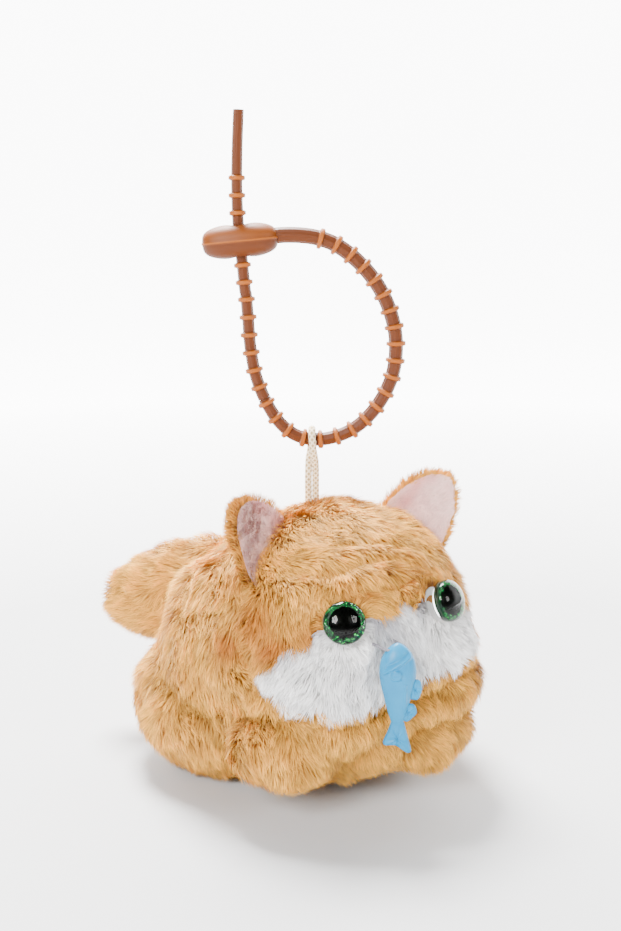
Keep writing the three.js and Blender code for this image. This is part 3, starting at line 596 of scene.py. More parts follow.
def body_skin(rows, around):
    """The cloth: in each direction from the middle, the blend's surface found by halving,
    less the pile's depth, with the sewn folds and small lumps of stuffing pushed in."""
    ways, tris = ball_grid(rows, around)
    low, high = np.zeros(len(ways)), np.full(len(ways), 90.0)
    for _ in range(22):
        mid = (low + high) / 2
        inside = outside(ways * mid[:, None], BODY_MASSES) < 0
        low, high = np.where(inside, mid, low), np.where(inside, high, mid)
    points = ways * low[:, None]
    push = PILE_DEPTH + 0.5 * waves(points, 22, 24, 3)[0] + 1.4 * fold_depth(points)
    reach = low - push
    flat = np.where(ways[:, 2] < 0, (BELLY_FLAT - 1.5) / np.maximum(-ways[:, 2], 1e-6), 1e9)
    return ways * np.minimum(reach, flat)[:, None], tris


def backing(name, code):
    """The woven back of plush: matt, close to the fur's shade where it shows between hairs."""
    made, tree, shader = finish_named(name)
    place = node(tree, "ShaderNodeTexCoord")
    weave = node(tree, "ShaderNodeTexNoise", {"Scale": 700, "Detail": 3}, Vector=place.outputs["Object"])
    shade = node(tree, "ShaderNodeMapRange", {"To Min": 0.75, "To Max": 1.1}, Value=weave.outputs["Fac"])
    hue = node(
        tree, "ShaderNodeHueSaturation", {"Color": (*linear(code), 1)},
        Value=shade.outputs["Result"],
    )
    tree.links.new(hue.outputs["Color"], shader.inputs["Base Color"])
    shader.inputs["Roughness"].default_value = 0.95
    return made


def pile_finish(name, root, tip, dye_and_shade, sheen=0.05):
    """Plush pile: soft, nearly matt fibre, darker at its roots and pale at its tips. The tone is partly
    painted shade, darker between tufts and down folds and creases, and partly random; a second colour
    gives the second dye where the coat changes colour, and painted shade in the ears' folds and above
    the mouth."""
    made, tree, shader = finish_named(name)
    up = node(tree, "ShaderNodeAttribute", {"attribute_name": "up_strand"})
    tone_and_shade = node(tree, "ShaderNodeAttribute", {"attribute_name": "tone_and_shade"})
    dye_and_shade_mask = node(tree, "ShaderNodeAttribute", {"attribute_name": "dye_and_shade"})
    coat = node(tree, "ShaderNodeMix", {"data_type": "RGBA"}, Factor=up.outputs["Fac"])
    coat.inputs["A"].default_value = (*linear(root), 1)
    coat.inputs["B"].default_value = (*linear(tip), 1)
    dyed_and_shaded = node(tree, "ShaderNodeMix", {"data_type": "RGBA"}, Factor=dye_and_shade_mask.outputs["Fac"])
    tree.links.new(coat.outputs["Result"], dyed_and_shaded.inputs["A"])
    dyed_and_shaded.inputs["B"].default_value = (*linear(dye_and_shade), 1)
    shade = node(
        tree, "ShaderNodeMapRange",
        {"From Min": -1.5, "From Max": 1.5, "To Min": 0.55, "To Max": 1.35},
        Value=tone_and_shade.outputs["Fac"],
    )
    hue = node(
        tree, "ShaderNodeHueSaturation", {},
        Color=dyed_and_shaded.outputs["Result"], Value=shade.outputs["Result"],
    )
    tree.links.new(hue.outputs["Color"], shader.inputs["Base Color"])
    shader.inputs["Roughness"].default_value = 0.62
    shader.inputs["Specular IOR Level"].default_value = 0.2
    shader.inputs["Sheen Weight"].default_value = sheen
    shader.inputs["Sheen Roughness"].default_value = 0.5
    return made


def crease_shade(points):
    """How much painted shade darkens a root down a sewn fold or in the crease where two stuffed parts
    meet. A root is on one part's cloth, so its distance to the next nearest cloth tells the second."""
    far = [outside(points, BODY_MASSES) + PILE_DEPTH]
    for centre, radii in LIMBS.values():
        far.append((np.linalg.norm((points - centre) / (radii - PILE_DEPTH), axis=1) - 1) * radii.min())
    second = np.sort(np.abs(far), axis=0)[1]
    return np.maximum(1.7 * np.minimum(fold_depth(points), 1.6), 1.1 * np.exp(-((second / 2.2) ** 2)))


def comb_down(points, normals):
    """The pile lies down over the whole body and a little forwards, away from the crown."""
    return np.broadcast_to([0.22, -0.38, -1], points.shape)


def fur(name, skin, tris, material, seed, per_mm2, length=FUR_LENGTH, width=FUR_WIDTH,
        comb=comb_down, keep=None, dye_and_shade=None, lean=(38, 72), clump=0.7, messy=0.36, soft=True,
        contrast=1.0):
    """Strands over a skin. Roots are scattered evenly by area. A strand leaves its root
    leaning from the normal by the first angle and ends at the second, along the comb's
    way turned a little by a random field; its tip moves up a second field's slope, so
    that tips meet in tufts. Each strand is a ribbon that ends in a point, its flat side
    out. Where it is soft, its normals are between the ribbon's and the skin's."""
    rng = np.random.default_rng(seed)
    skin_normals = point_normals(skin, tris)
    a, b, c = (skin[tris[:, k]] for k in range(3))
    area = np.linalg.norm(np.cross(b - a, c - a), axis=1) / 2
    count = int(area.sum() * per_mm2)
    pick = rng.choice(len(tris), count, p=area / area.sum())
    r1, r2 = np.sqrt(rng.random((count, 1))), rng.random((count, 1))
    share = np.hstack([1 - r1, r1 * (1 - r2), r1 * r2])
    root = (skin[tris[pick]] * share[:, :, None]).sum(1)
    normal = (skin_normals[tris[pick]] * share[:, :, None]).sum(1)
    normal /= np.linalg.norm(normal, axis=1)[:, None]
    if keep is not None:
        kept = keep(root)
        root, normal = root[kept], normal[kept]
    count = len(root)

    way = np.array(comb(root, normal), float)
    eye_far, eye_out = from_eyes(root)
    near_eye = np.clip((EYE_R + 4 - eye_far) / 4, 0, 1)[:, None]
    way = way * (1 - near_eye) + 1.2 * near_eye * eye_out
    way = way - (way * normal).sum(1)[:, None] * normal
    way /= np.linalg.norm(way, axis=1)[:, None] + 1e-9
    side = np.cross(normal, way)
    turn = messy * waves(root, 16, 20, seed + 1)[0] + messy * 0.4 * waves(root, 6, 20, seed + 2)[0]
    turn = (turn + rng.normal(0, 0.16, count))[:, None]
    way = way * np.cos(turn) + side * np.sin(turn)
    tuft, slope = waves(root, 7.0, 40, seed + 3)
    fine_tuft, fine_slope = waves(root, 2.6, 40, seed + 4)
    gather = clump * 1.1 * slope + 0.28 * clump * fine_slope
    gather -= (gather * normal).sum(1)[:, None] * normal
    size = np.linalg.norm(gather, axis=1)[:, None] + 1e-9
    gather *= np.minimum(size, 2.2 * clump) / size

    long = (length * rng.uniform(0.72, 1.08, count))[:, None] * (1 - 0.45 * near_eye)
    sway = rng.normal(0, 5, (count, 1)) + 7 * waves(root, 11, 20, seed + 5)[0][:, None]
    first, second = (np.radians(np.clip(angle + sway, 8, 84)) for angle in lean)
    mid = root + long * 0.5 * (normal * np.cos(first) + way * np.sin(first)) + 0.3 * gather
    tip = mid + long * 0.5 * (normal * np.cos(second) + way * np.sin(second)) + 0.7 * gather
    mid_way = (tip - root) / np.linalg.norm(tip - root, axis=1)[:, None]
    wide = np.cross(mid_way, normal)
    wide /= np.linalg.norm(wide, axis=1)[:, None] + 1e-9
    out = np.cross(wide, mid_way)
    roll = rng.normal(0, 0.45, (count, 1))
    wide, out = wide * np.cos(roll) + out * np.sin(roll), out * np.cos(roll) - wide * np.sin(roll)
    half = (width / 2 * rng.uniform(0.7, 1.25, count))[:, None]
    points = np.stack([root - wide * half, root + wide * half, mid + wide * half * 0.8,
                       mid - wide * half * 0.8, tip], 1)
    points[..., 2] = np.maximum(points[..., 2], -BELLY_FLAT + 0.1)  # the table presses it flat
    shape = np.array([[0, 1, 2], [0, 2, 3], [3, 2, 4]])
    faces = (np.arange(count)[:, None, None] * 5 + shape[None]).reshape(-1, 3)
    made = surface(name, to_world(points.reshape(-1, 3)), faces, material)

    facing = 0.65 * normal + 0.35 * out - 0.24 * gather
    facing /= np.linalg.norm(facing, axis=1)[:, None]
    facing = np.repeat(to_world(facing) - to_world(np.zeros((1, 3))), 5, 0) / MM
    if soft:
        made.data.normals_split_custom_set_from_vertices(facing.astype(np.float32))
    mesh = made.data
    # Painted shade: the tone is darker between tufts and down folds and creases, and it also differs at
    # random from strand to strand.
    tone_and_shade = 0.28 * tuft + 0.3 * fine_tuft + rng.normal(0, 0.75, count) - crease_shade(root)
    values = {
        "up_strand": np.tile([0, 0, 0.55, 0.55, 1.0], count),
        "tone_and_shade": np.repeat(tone_and_shade, 5) * contrast,
        "dye_and_shade": np.repeat(dye_and_shade(root) if dye_and_shade else np.zeros(count), 5),
    }
    for key, value in values.items():
        mesh.attributes.new(key, "FLOAT", "POINT").data.foreach_set("value", value.astype(np.float32))
    # Each strand has its own small cell in the OFBake UV layer.
    cells = math.ceil(math.sqrt(count))
    cell = np.stack([np.arange(count) % cells, np.arange(count) // cells], -1)[:, None] / cells
    inner = np.array([[0.2, 0.1], [0.8, 0.1], [0.8, 0.5], [0.2, 0.5], [0.5, 0.9]]) / cells
    corner = (cell + inner[None]).reshape(-1, 2)[faces.ravel()]
    mesh.uv_layers.new(name="OFBake").data.foreach_set("uv", corner.astype(np.float32).ravel())
    return made


MUZZLE_X = [-38, -35.5, -31, -26, -21, -9, 0, 9, 21, 26, 31, 35.5, 38]
MUZZLE_TOP = [-4, 1, 7.5, 11.2, 13.2, 16.2, 18.4, 17.0, 15.2, 13.5, 10.5, 6, 3]
MUZZLE_LOW = [3, -3, -5.5, -7.5, -7, -5.5, -4, -2, -0.5, 0, 0.5, 1, 3]


def muzzle_depth(points):
    """How far a place is inside the white muzzle's edge, in mm, seen from the front. The
    roots' edge is above the edge that shows, because the pile hangs down over it."""
    x, z = points[:, 0], points[:, 2] - 2.5
    top = np.interp(x, MUZZLE_X, MUZZLE_TOP) - z
    low = z - np.interp(x, MUZZLE_X, MUZZLE_LOW)
    depth = np.minimum(np.minimum(top, low), 38 - np.abs(x))
    depth = np.minimum(depth, -33.5 - points[:, 1])
    return depth + 0.7 * waves(points, 7, 16, 71)[0]


EYE_MIDDLE = np.array([17.1, -46.7, 19.9])
EYE_R = 6.0
EYE_AZIMUTH = math.radians(23.5)
EYE_LIFT = math.radians(20)
EYE_RIGHT_LOWER = 1.3  # the cat's right eye is fixed a little lower than the left
FISH_HANG = np.array([-6.5, -57.74, 12.45])


def eye_place(side):
    """Rows: across, up, facing, and the seat on the cloth. The right eye is sewn lower."""
    facing = np.array([
        side * math.sin(EYE_AZIMUTH) * math.cos(EYE_LIFT),
        -math.cos(EYE_AZIMUTH) * math.cos(EYE_LIFT),
        math.sin(EYE_LIFT),
    ])
    across = np.cross([0, 0, 1], facing)
    across /= np.linalg.norm(across)
    seat = EYE_MIDDLE * (side, 1, 1) + ((0, 0, -EYE_RIGHT_LOWER) if side < 0 else (0, 0, 0))
    return np.array([across, np.cross(facing, across), facing, seat])


def from_eyes(points):
    """Distance from the nearer eye's axis, and the way out from it."""
    best, out = np.full(len(points), 99.0), np.zeros_like(points)
    for side in (1, -1):
        matrix = eye_place(side)
        offset = points - matrix[3]
        offset = offset - (offset @ matrix[2])[:, None] * matrix[2]
        far = np.linalg.norm(offset, axis=1)
        far = np.where(points[:, 1] < -25, far, 99)
        out = np.where((far < best)[:, None], offset / (far[:, None] + 1e-9), out)
        best = np.minimum(best, far)
    return best, out


def face_edge(points):
    """How far in front of the seam that runs over the crown and down behind the cheeks."""
    line_z = np.array([2, 8, 28, 47, 70]) * 1.0
    line_y = np.array([-33, -31, -20, -6, 8])
    return np.interp(points[:, 2], line_z, line_y) - points[:, 1]




def in_ball(points, centre, radii, grow=0.0):
    """True inside an ellipsoid that is grown by some millimetres."""
    return np.linalg.norm((points - centre) / (np.array(radii) + grow), axis=1) < 1


def in_limbs(points, grow=-PILE_DEPTH - 1):
    """True inside a hind foot's or a front paw's cloth."""
    return np.any([in_ball(points, *limb, grow) for limb in LIMBS.values()], axis=0)


tan_cloth = backing("tan_backing", "#A87032")
white_cloth = backing("white_backing", "#DAD8D6")
tan_pile = pile_finish("tan_plush", "#9A5608", "#FFBE4E", "#A85A12")
# The white pile's second colour is grey, for the muzzle's upper edge and for painted shade above the
# mouth.
white_pile = pile_finish("white_plush", "#EEEAE4", "#FFFFFF", "#8E8A96")

skin_points, skin_tris = body_skin(110, 170)
cat_skin = surface("body_cloth", to_world(skin_points), skin_tris, tan_cloth)
cat_skin.data.materials.append(white_cloth)
centre = skin_points[skin_tris].mean(1)
cat_skin.data.polygons.foreach_set("material_index", (muzzle_depth(centre) > 0).astype(np.int32))
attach(cat_skin, "plush")
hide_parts("body_stuffing")


level = np.cross([0, 0, 1], TAIL_WAY)
level /= np.linalg.norm(level)
tail_axes = np.array([np.cross(TAIL_WAY, level), -level, TAIL_WAY])
tail_middle = TAIL_ROOT + TAIL_WAY * (TAIL_HALF[2] - 12)


def on_body(points):
    """True where the body's own fur grows: clear of limbs, tail, table and eyes."""
    in_tail = in_ball((points - tail_middle) @ tail_axes.T, 0, TAIL_HALF, -PILE_DEPTH - 1)
    clear = (points[:, 2] > -BELLY_FLAT + 0.5) & (from_eyes(points)[0] > EYE_R - 0.9)
    return ~in_tail & ~in_limbs(points) & clear


def coat_patches(points):
    """The orange second dye: behind the cheek seam, over the muzzle's left, on the brow."""
    spots = [
        ((-36.5, -28, 19), 8.5), ((-34, -36, 12), 6.0), ((-27, -43, 17), 5.5),
        ((-40, -22, 10), 6.0), ((12, -44, 28), 6.0), ((36.5, -28, 19), 7.0),
        ((34, -37, 12), 5.0), ((-12, -44, 25), 3.5), ((-38, -16, 28), 5.0),
        ((-46, 12, 12), 6.0), ((44, 14, 14), 7.0),
    ]
    amount = np.zeros(len(points))
    for spot, size in spots:
        amount = np.maximum(amount, np.exp(-((np.linalg.norm(points - spot, axis=1) / size) ** 2)))
    return np.clip(amount * 0.95 + 0.06 * waves(points, 12, 16, 5)[0], 0, 1)


def muzzle_grey(points):
    """Greyer along the muzzle's upper edge, and painted shade above the mouth."""
    edge = np.exp(-((muzzle_depth(points) / 2.2) ** 2)) * (points[:, 2] > 6)
    mouth = np.exp(-(np.linalg.norm(points - (-3, -52, 16), axis=1) / 6) ** 2)
    return np.clip(0.55 * edge + 0.7 * mouth, 0, 1)


def comb_muzzle(points, normals):
    """Down, and outwards from the mouth."""
    way = np.zeros_like(points)
    way[:, 0] = points[:, 0] / 38 * 0.35
    way[:, 2] = -1
    return way


panels = [
    ("fur_muzzle", "muzzle_cover", white_pile, "fur_white", muzzle_grey, comb_muzzle, 9.5,
     lambda p: on_body(p) & (muzzle_depth(p) > 0)),
    ("fur_face", "face_cover", tan_pile, "fur_tan", coat_patches, comb_down, 9.0,
     lambda p: on_body(p) & (muzzle_depth(p) <= 0) & (face_edge(p) > 0) & (p[:, 2] > 2)),
    ("fur_side_left", "side_cover_left", tan_pile, "fur_tan", coat_patches, comb_down, 7.2,
     lambda p: on_body(p) & (muzzle_depth(p) <= 0) & ((face_edge(p) <= 0) | (p[:, 2] <= 2))
     & (p[:, 2] > -34) & (p[:, 0] > 0)),
    ("fur_side_right", "side_cover_right", tan_pile, "fur_tan", coat_patches, comb_down, 7.2,
     lambda p: on_body(p) & (muzzle_depth(p) <= 0) & ((face_edge(p) <= 0) | (p[:, 2] <= 2))
     & (p[:, 2] > -34) & (p[:, 0] <= 0)),
    ("fur_belly", "belly_cover", tan_pile, "fur_tan", None, comb_down, 4.0,
     lambda p: on_body(p) & (p[:, 2] <= -34)),
]
for seed, (name, covers, pile, slot, dye_and_shade, comb, thick, keep) in enumerate(panels):
    length = {"fur_belly": 3.0, "fur_muzzle": 5.0}.get(name, FUR_LENGTH)
    messy, contrast = (0.24, 0.6) if name == "fur_muzzle" else (0.36, 1.0)
    made = fur(name, skin_points, skin_tris, pile, 100 + 10 * seed, thick, length=length,
               comb=comb, keep=keep, dye_and_shade=dye_and_shade, messy=messy, contrast=contrast)
    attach(made, "plush")
    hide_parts(covers)

# ---------------------------------------------------------------- feet and paws
# Four stuffed pouches of the same plush, sewn along the body's lower edge. The hind feet
# are large haunches; the front paws lie together under the muzzle.
def pouch(centre, radii, seed, rows=46, around=72):
    """An ellipsoid's skin set in by the pile's depth, with small lumps, flat where it
    would go under the belly."""
    ways, tris = ball_grid(rows, around)
    points = ways * (np.array(radii) - PILE_DEPTH)
    points += ways * 0.35 * waves(points, 13, 20, seed)[0][:, None]
    points = points + centre
    points[:, 2] = np.maximum(points[:, 2], -BELLY_FLAT + 1.5)
    return points, tris


def limb(name, seed, comb, dense=7.6, length=5.6):
    """A pouch with its own fur, which stands for one CAD node."""
    points, tris = pouch(*LIMBS[name], seed)
    skin = surface(name + "_cloth", to_world(points), tris, tan_cloth)
    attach(skin, "plush")
    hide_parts(name)
    made = fur(
        "fur_" + name, points, tris, tan_pile, seed, dense, length=length, comb=comb,
        keep=lambda p: (outside(p, BODY_MASSES) > -PILE_DEPTH - 1) & (p[:, 2] > -BELLY_FLAT + 1.8)
        & clear_of_others(p, name), dye_and_shade=limb_patches,
    )
    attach(made, "plush")
    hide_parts(name)


def limb_patches(points):
    return np.clip(0.08 + 0.10 * waves(points, 14, 16, 8)[0], 0, 1)


def clear_of_others(points, name):
    """True where a limb's root isn't buried in another limb."""
    others = [in_ball(points, *LIMBS[other], -PILE_DEPTH - 1) for other in LIMBS if other != name]
    return ~np.any(others, axis=0)


def comb_paw(points, normals):
    """Forwards and down, towards the paw's tip."""
    return np.broadcast_to([0.25, -0.35, -0.9], points.shape)


for side, sign in (("left", 1), ("right", -1)):
    limb("hind_foot_" + side, 300 + sign, comb_down)
    limb("front_paw_" + side, 320 + sign, comb_paw)

# ---------------------------------------------------------------- tail
# A stubby flat lobe of plush with a little filling, sewn to the rump and curled to one side.
ways, tail_tris = ball_grid(60, 80)
plump = 1 + 0.05 * ways[:, 2:3]
tail_points = ways * (TAIL_HALF - PILE_DEPTH) * plump
tail_points += ways * 0.4 * waves(tail_points, 12, 20, 41)[0][:, None]
tail_points = tail_points @ tail_axes + tail_middle
tail_skin = surface("tail_cloth", to_world(tail_points), tail_tris, tan_cloth)
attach(tail_skin, "plush")
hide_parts("tail_stuffing")


def comb_tail(points, normals):
    """Along the tail, from its root to its tip."""
    return np.broadcast_to(TAIL_WAY, points.shape)


fur_tail = fur(
    "fur_tail", tail_points, tail_tris, tan_pile, 401, 7.4, comb=comb_tail, dye_and_shade=limb_patches,
    keep=lambda p: outside(p, BODY_MASSES) > -PILE_DEPTH - 1,
)
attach(fur_tail, "plush")
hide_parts("tail_cover")

# ---------------------------------------------------------------- ears
# Each ear is two layers sewn round the edge and turned: long-pile plush behind, pink
# short-pile velour in front. It cups forwards a little.
EAR_INNER = np.array([0.314, -0.241, 1.094]) * HALF
EAR_OUTER = np.array([0.733, -0.575, 0.663]) * HALF
EAR_RIGHT_LOWER = np.array([-1.6, -0.6, -3.2])  # the right ear is sewn lower at its outer foot
EAR_WIDTH = 25
EAR_RIGHT_WIDER = 2.2  # the cat's right ear is a little wider than the left
EAR_HEIGHT = 20
EAR_RIM = 1.0
EAR_CUP = 2.2
EAR_EDGE_POINTS = 76

pink_cloth = backing("pink_backing", "#F0C2BE")
# The velour's second colour, a deeper pink, is painted shade in the ears' folds.
pink_pile = pile_finish("pink_velour", "#F4BDB8", "#FFDDD4", "#E08C8C", sheen=0.2)


def bezier(points, steps):
    """A cubic curve through its first and last point, pulled by the two between."""
    t = np.linspace(0, 1, steps)[:, None]
    a, b, c, d = (np.array(p, float) for p in points)
    return (1 - t) ** 3 * a + 3 * (1 - t) ** 2 * t * b + 3 * (1 - t) * t * t * c + t**3 * d


def ear_outline(width, height):
    """The ear's edge from its outer foot over the tip to its inner foot."""
    h, sink = width / 2, -7
    parts = [
        [(h * 0.94, sink), (h, height * 0.35), (h * 0.62, height * 0.82), (h * 0.15, height)],
        [(h * 0.15, height), (-h * 0.05, height * 1.04), (-h * 0.2, height), (-h * 0.38, height * 0.92)],
        [(-h * 0.38, height * 0.92), (-h * 0.75, height * 0.7), (-h, height * 0.4), (-h * 0.94, sink)],
    ]
    return np.vstack([bezier(p, 26)[: None if i == 2 else -1] for i, p in enumerate(parts)])


def ear_shell(side, inset, front, thick):
    """A pillow between two sheets: rings shrink from the ear's edge to its middle, and each
    sheet bulges as the square root of the distance in. The whole is cupped by a parabola
    across the ear, deepest in its middle."""
    inner, outer = EAR_INNER * (side, 1, 1), EAR_OUTER * (side, 1, 1)
    if side < 0:
        outer = outer + EAR_RIGHT_LOWER
    across = (outer - inner) / np.linalg.norm(outer - inner)
    up = np.array([0, 0.06, 1])
    up = up - (up @ across) * across
    up /= np.linalg.norm(up)
    ahead = np.cross(across, up)
    if ahead[1] > 0:
        ahead = -ahead
    edge = ear_outline(EAR_WIDTH + (EAR_RIGHT_WIDER if side < 0 else 0) - 2 * inset, EAR_HEIGHT - inset)
    middle = np.array([0, 5.0])
    rings = np.sin(np.linspace(math.pi / 2, 0, 16, endpoint=False))[:, None, None]
    flat = middle + (edge[None] - middle) * rings
    bulge = thick / 2 * np.sqrt(np.clip(1 - rings[..., 0] ** 2.2, 0, 1)) * np.ones((1, len(edge)))
    rising = np.clip(flat[..., 1] / EAR_HEIGHT + 0.4, 0, 1)
    cup = -EAR_CUP * (1 - (flat[..., 0] / (EAR_WIDTH / 2)) ** 2) * rising
    sheets = [cup + front + bulge, (cup + front - bulge)[1:]]
    layers = [flat, flat[1:]]
    deep = front - EAR_CUP * 0.65
    low = np.array([[*middle, deep + thick / 2], [*middle, deep - thick / 2]])
    local = np.vstack([np.dstack([f, d]).reshape(-1, 3) for f, d in zip(layers, sheets)] + [low])
    n, r = len(edge), 16
    quads = sheet_grid(r, n, closed_columns=True)
    tri_front = np.vstack([quads[:, [0, 1, 2]], quads[:, [0, 2, 3]]])
    back = sheet_grid(r - 1, n, closed_columns=True) + r * n
    j = np.arange(n)
    after = (j + 1) % n
    join = np.stack([j, after, r * n + after, r * n + j], -1)
    back = np.vstack([join, back])
    tri_back = np.vstack([back[:, [0, 2, 1]], back[:, [0, 3, 2]]])
    tip_front = np.stack([(r - 1) * n + j, (r - 1) * n + after, np.full(n, len(local) - 2)], -1)
    tip_back = np.stack([(2 * r - 2) * n + after, (2 * r - 2) * n + j, np.full(n, len(local) - 1)], -1)
    tris = np.vstack([tri_front, tip_front, tri_back, tip_back])
    points = (inner + outer) / 2 + local @ np.array([across, up, ahead])
    points += 0.35 * waves(points, 14, 12, 50 + side)[0][:, None] * ahead
    if np.cross(across, up) @ ahead < 0:
        tris = tris[:, ::-1]
    return points, tris, across, up, ahead


for side, sign in (("left", 1), ("right", -1)):
    points, tris, across, up, ahead = ear_shell(sign, 0.9, 1.2, 2.6)
    back_cloth = surface("ear_back_cloth_" + side, to_world(points), tris, tan_cloth)
    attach(back_cloth, "plush")
    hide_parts("ear_back_" + side)
    middle = (EAR_INNER + EAR_OUTER) / 2 * (sign, 1, 1)

    def behind(p):
        """True where a root is clear of the head."""
        return outside(p, BODY_MASSES) > -PILE_DEPTH

    def comb_ear(p, normals, up=up, across=across, ahead=ahead, middle=middle):
        """Up the ear and out over its edge, laid back a little."""
        return up + 0.5 * ((p - middle) @ across)[:, None] / 12 * across - 0.7 * ahead

    back_normals = point_normals(points, tris)
    on_back = (back_normals @ ahead) < 0.25
    on_back[: 7 * EAR_EDGE_POINTS] = True
    back_tris = tris[on_back[tris].all(1)]
    ear_fur = fur(
        "fur_ear_" + side, points, back_tris, tan_pile, 500 + sign, 13.0, length=3.4, width=0.24,
        comb=comb_ear, keep=behind, dye_and_shade=lambda p: np.full(len(p), 0.1), lean=(42, 76),
        clump=0.5, soft=False,
    )
    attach(ear_fur, "plush")
    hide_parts("ear_back_" + side)

    points, tris, across, up, ahead = ear_shell(sign, EAR_RIM + 0.3, 2.9, 1.0)
    lining = surface("ear_lining_cloth_" + side, to_world(points), tris, pink_cloth)
    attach(lining, "plush")
    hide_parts("ear_lining_" + side)
    front_normals = point_normals(points, tris)
    front_tris = tris[((front_normals @ ahead) > 0.15)[tris].all(1)]

    def fold_shade(p, across=across, middle=middle):
        """Painted shade: deeper pink in the fold towards the crown, with small random differences."""
        away = (p - middle) @ across
        return np.clip(0.6 * np.exp(-(((away + 6.5) / 2.6) ** 2)) + 0.08 * waves(p, 5, 12, 7)[0], 0, 1)

    velour = fur(
        "velour_ear_" + side, points, front_tris, pink_pile, 540 + sign, 30.0, length=1.2, width=0.22,
        comb=lambda p, n, up=up: up + 0 * p, keep=behind, dye_and_shade=fold_shade, lean=(44, 70),
        clump=0.3, messy=0.3, contrast=0.3,
    )
    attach(velour, "plush")
    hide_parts("ear_lining_" + side)

# ---------------------------------------------------------------- eyes
# Safety eyes: a clear acrylic dome over a disc of green glitter and a black pupil, on a
# post that a washer holds behind the cloth.
EYE_DOME = 3.4
PUPIL_R = 4.1
FLAKE = 0.38  # real flakes are about 0.2 mm; drawn coarse so that they show

# Clear moulded acrylic: it lets the eye's inside show and mirrors the lamps. Its index is
# below real acrylic's 1.49, to keep those mirrors faint.
acrylic, tree, shader = finish_named("clear_acrylic")
shader.inputs["Base Color"].default_value = (1, 1, 1, 1)
shader.inputs["Transmission Weight"].default_value = 1
shader.inputs["Roughness"].default_value = 0.01
shader.inputs["IOR"].default_value = 1.24
shader.inputs["Specular IOR Level"].default_value = 0.1

# Black paint behind the acrylic, glossy where the two meet.
pupil_paint, tree, shader = finish_named("black_enamel")
place = node(tree, "ShaderNodeTexCoord")
haze = node(tree, "ShaderNodeTexNoise", {"Scale": 400}, Vector=place.outputs["Object"])
shade = node(tree, "ShaderNodeMapRange", {"To Min": 0.12, "To Max": 0.2}, Value=haze.outputs["Fac"])
tree.links.new(shade.outputs["Result"], shader.inputs["Roughness"])
shader.inputs["Base Color"].default_value = (*linear("#020302"), 1)
shader.inputs["Specular IOR Level"].default_value = 0.03

# Glitter: a dark green varnish, and flakes of green foil that each catch a light alone.
varnish, tree, shader = finish_named("green_varnish")
place = node(tree, "ShaderNodeTexCoord")
grain = node(tree, "ShaderNodeTexNoise", {"Scale": 1500, "Detail": 2}, Vector=place.outputs["Object"])
tint = node(tree, "ShaderNodeMix", {"data_type": "RGBA"}, Factor=grain.outputs["Fac"])
tint.inputs["A"].default_value = (*linear("#020A05"), 1)
tint.inputs["B"].default_value = (*linear("#06301A"), 1)
tree.links.new(tint.outputs["Result"], shader.inputs["Base Color"])
shader.inputs["Roughness"].default_value = 0.35
shader.inputs["Metallic"].default_value = 0.4
foil, tree, shader = finish_named("green_foil")
place = node(tree, "ShaderNodeTexCoord")
cell = node(tree, "ShaderNodeTexNoise", {"Scale": 2200}, Vector=place.outputs["Object"])
tint = node(tree, "ShaderNodeMix", {"data_type": "RGBA"}, Factor=cell.outputs["Fac"])
tint.inputs["A"].default_value = (*linear("#06501C"), 1)
tint.inputs["B"].default_value = (*linear("#2CC862"), 1)
tree.links.new(tint.outputs["Result"], shader.inputs["Base Color"])
shader.inputs["Metallic"].default_value = 1
shader.inputs["Roughness"].default_value = 0.25


def turned(name, profile, matrix, material, around=64):
    """A closed body turned about an axis: the profile is (radius, height) from one end of
    the axis to the other, its first and last radius 0."""
    profile = np.array(profile, float)
    u = np.linspace(0, 2 * math.pi, around, endpoint=False)
    r, h = profile[1:-1, 0:1], profile[1:-1, 1:2]
    ring = np.stack([r * np.cos(u), r * np.sin(u), h + 0 * u], -1).reshape(-1, 3)
    points = np.vstack([ring, [0, 0, profile[0, 1]], [0, 0, profile[-1, 1]]])
    points = points @ matrix[:3] + matrix[3]
    return closed_tube(name, to_world(points), len(profile) - 2, around, material)


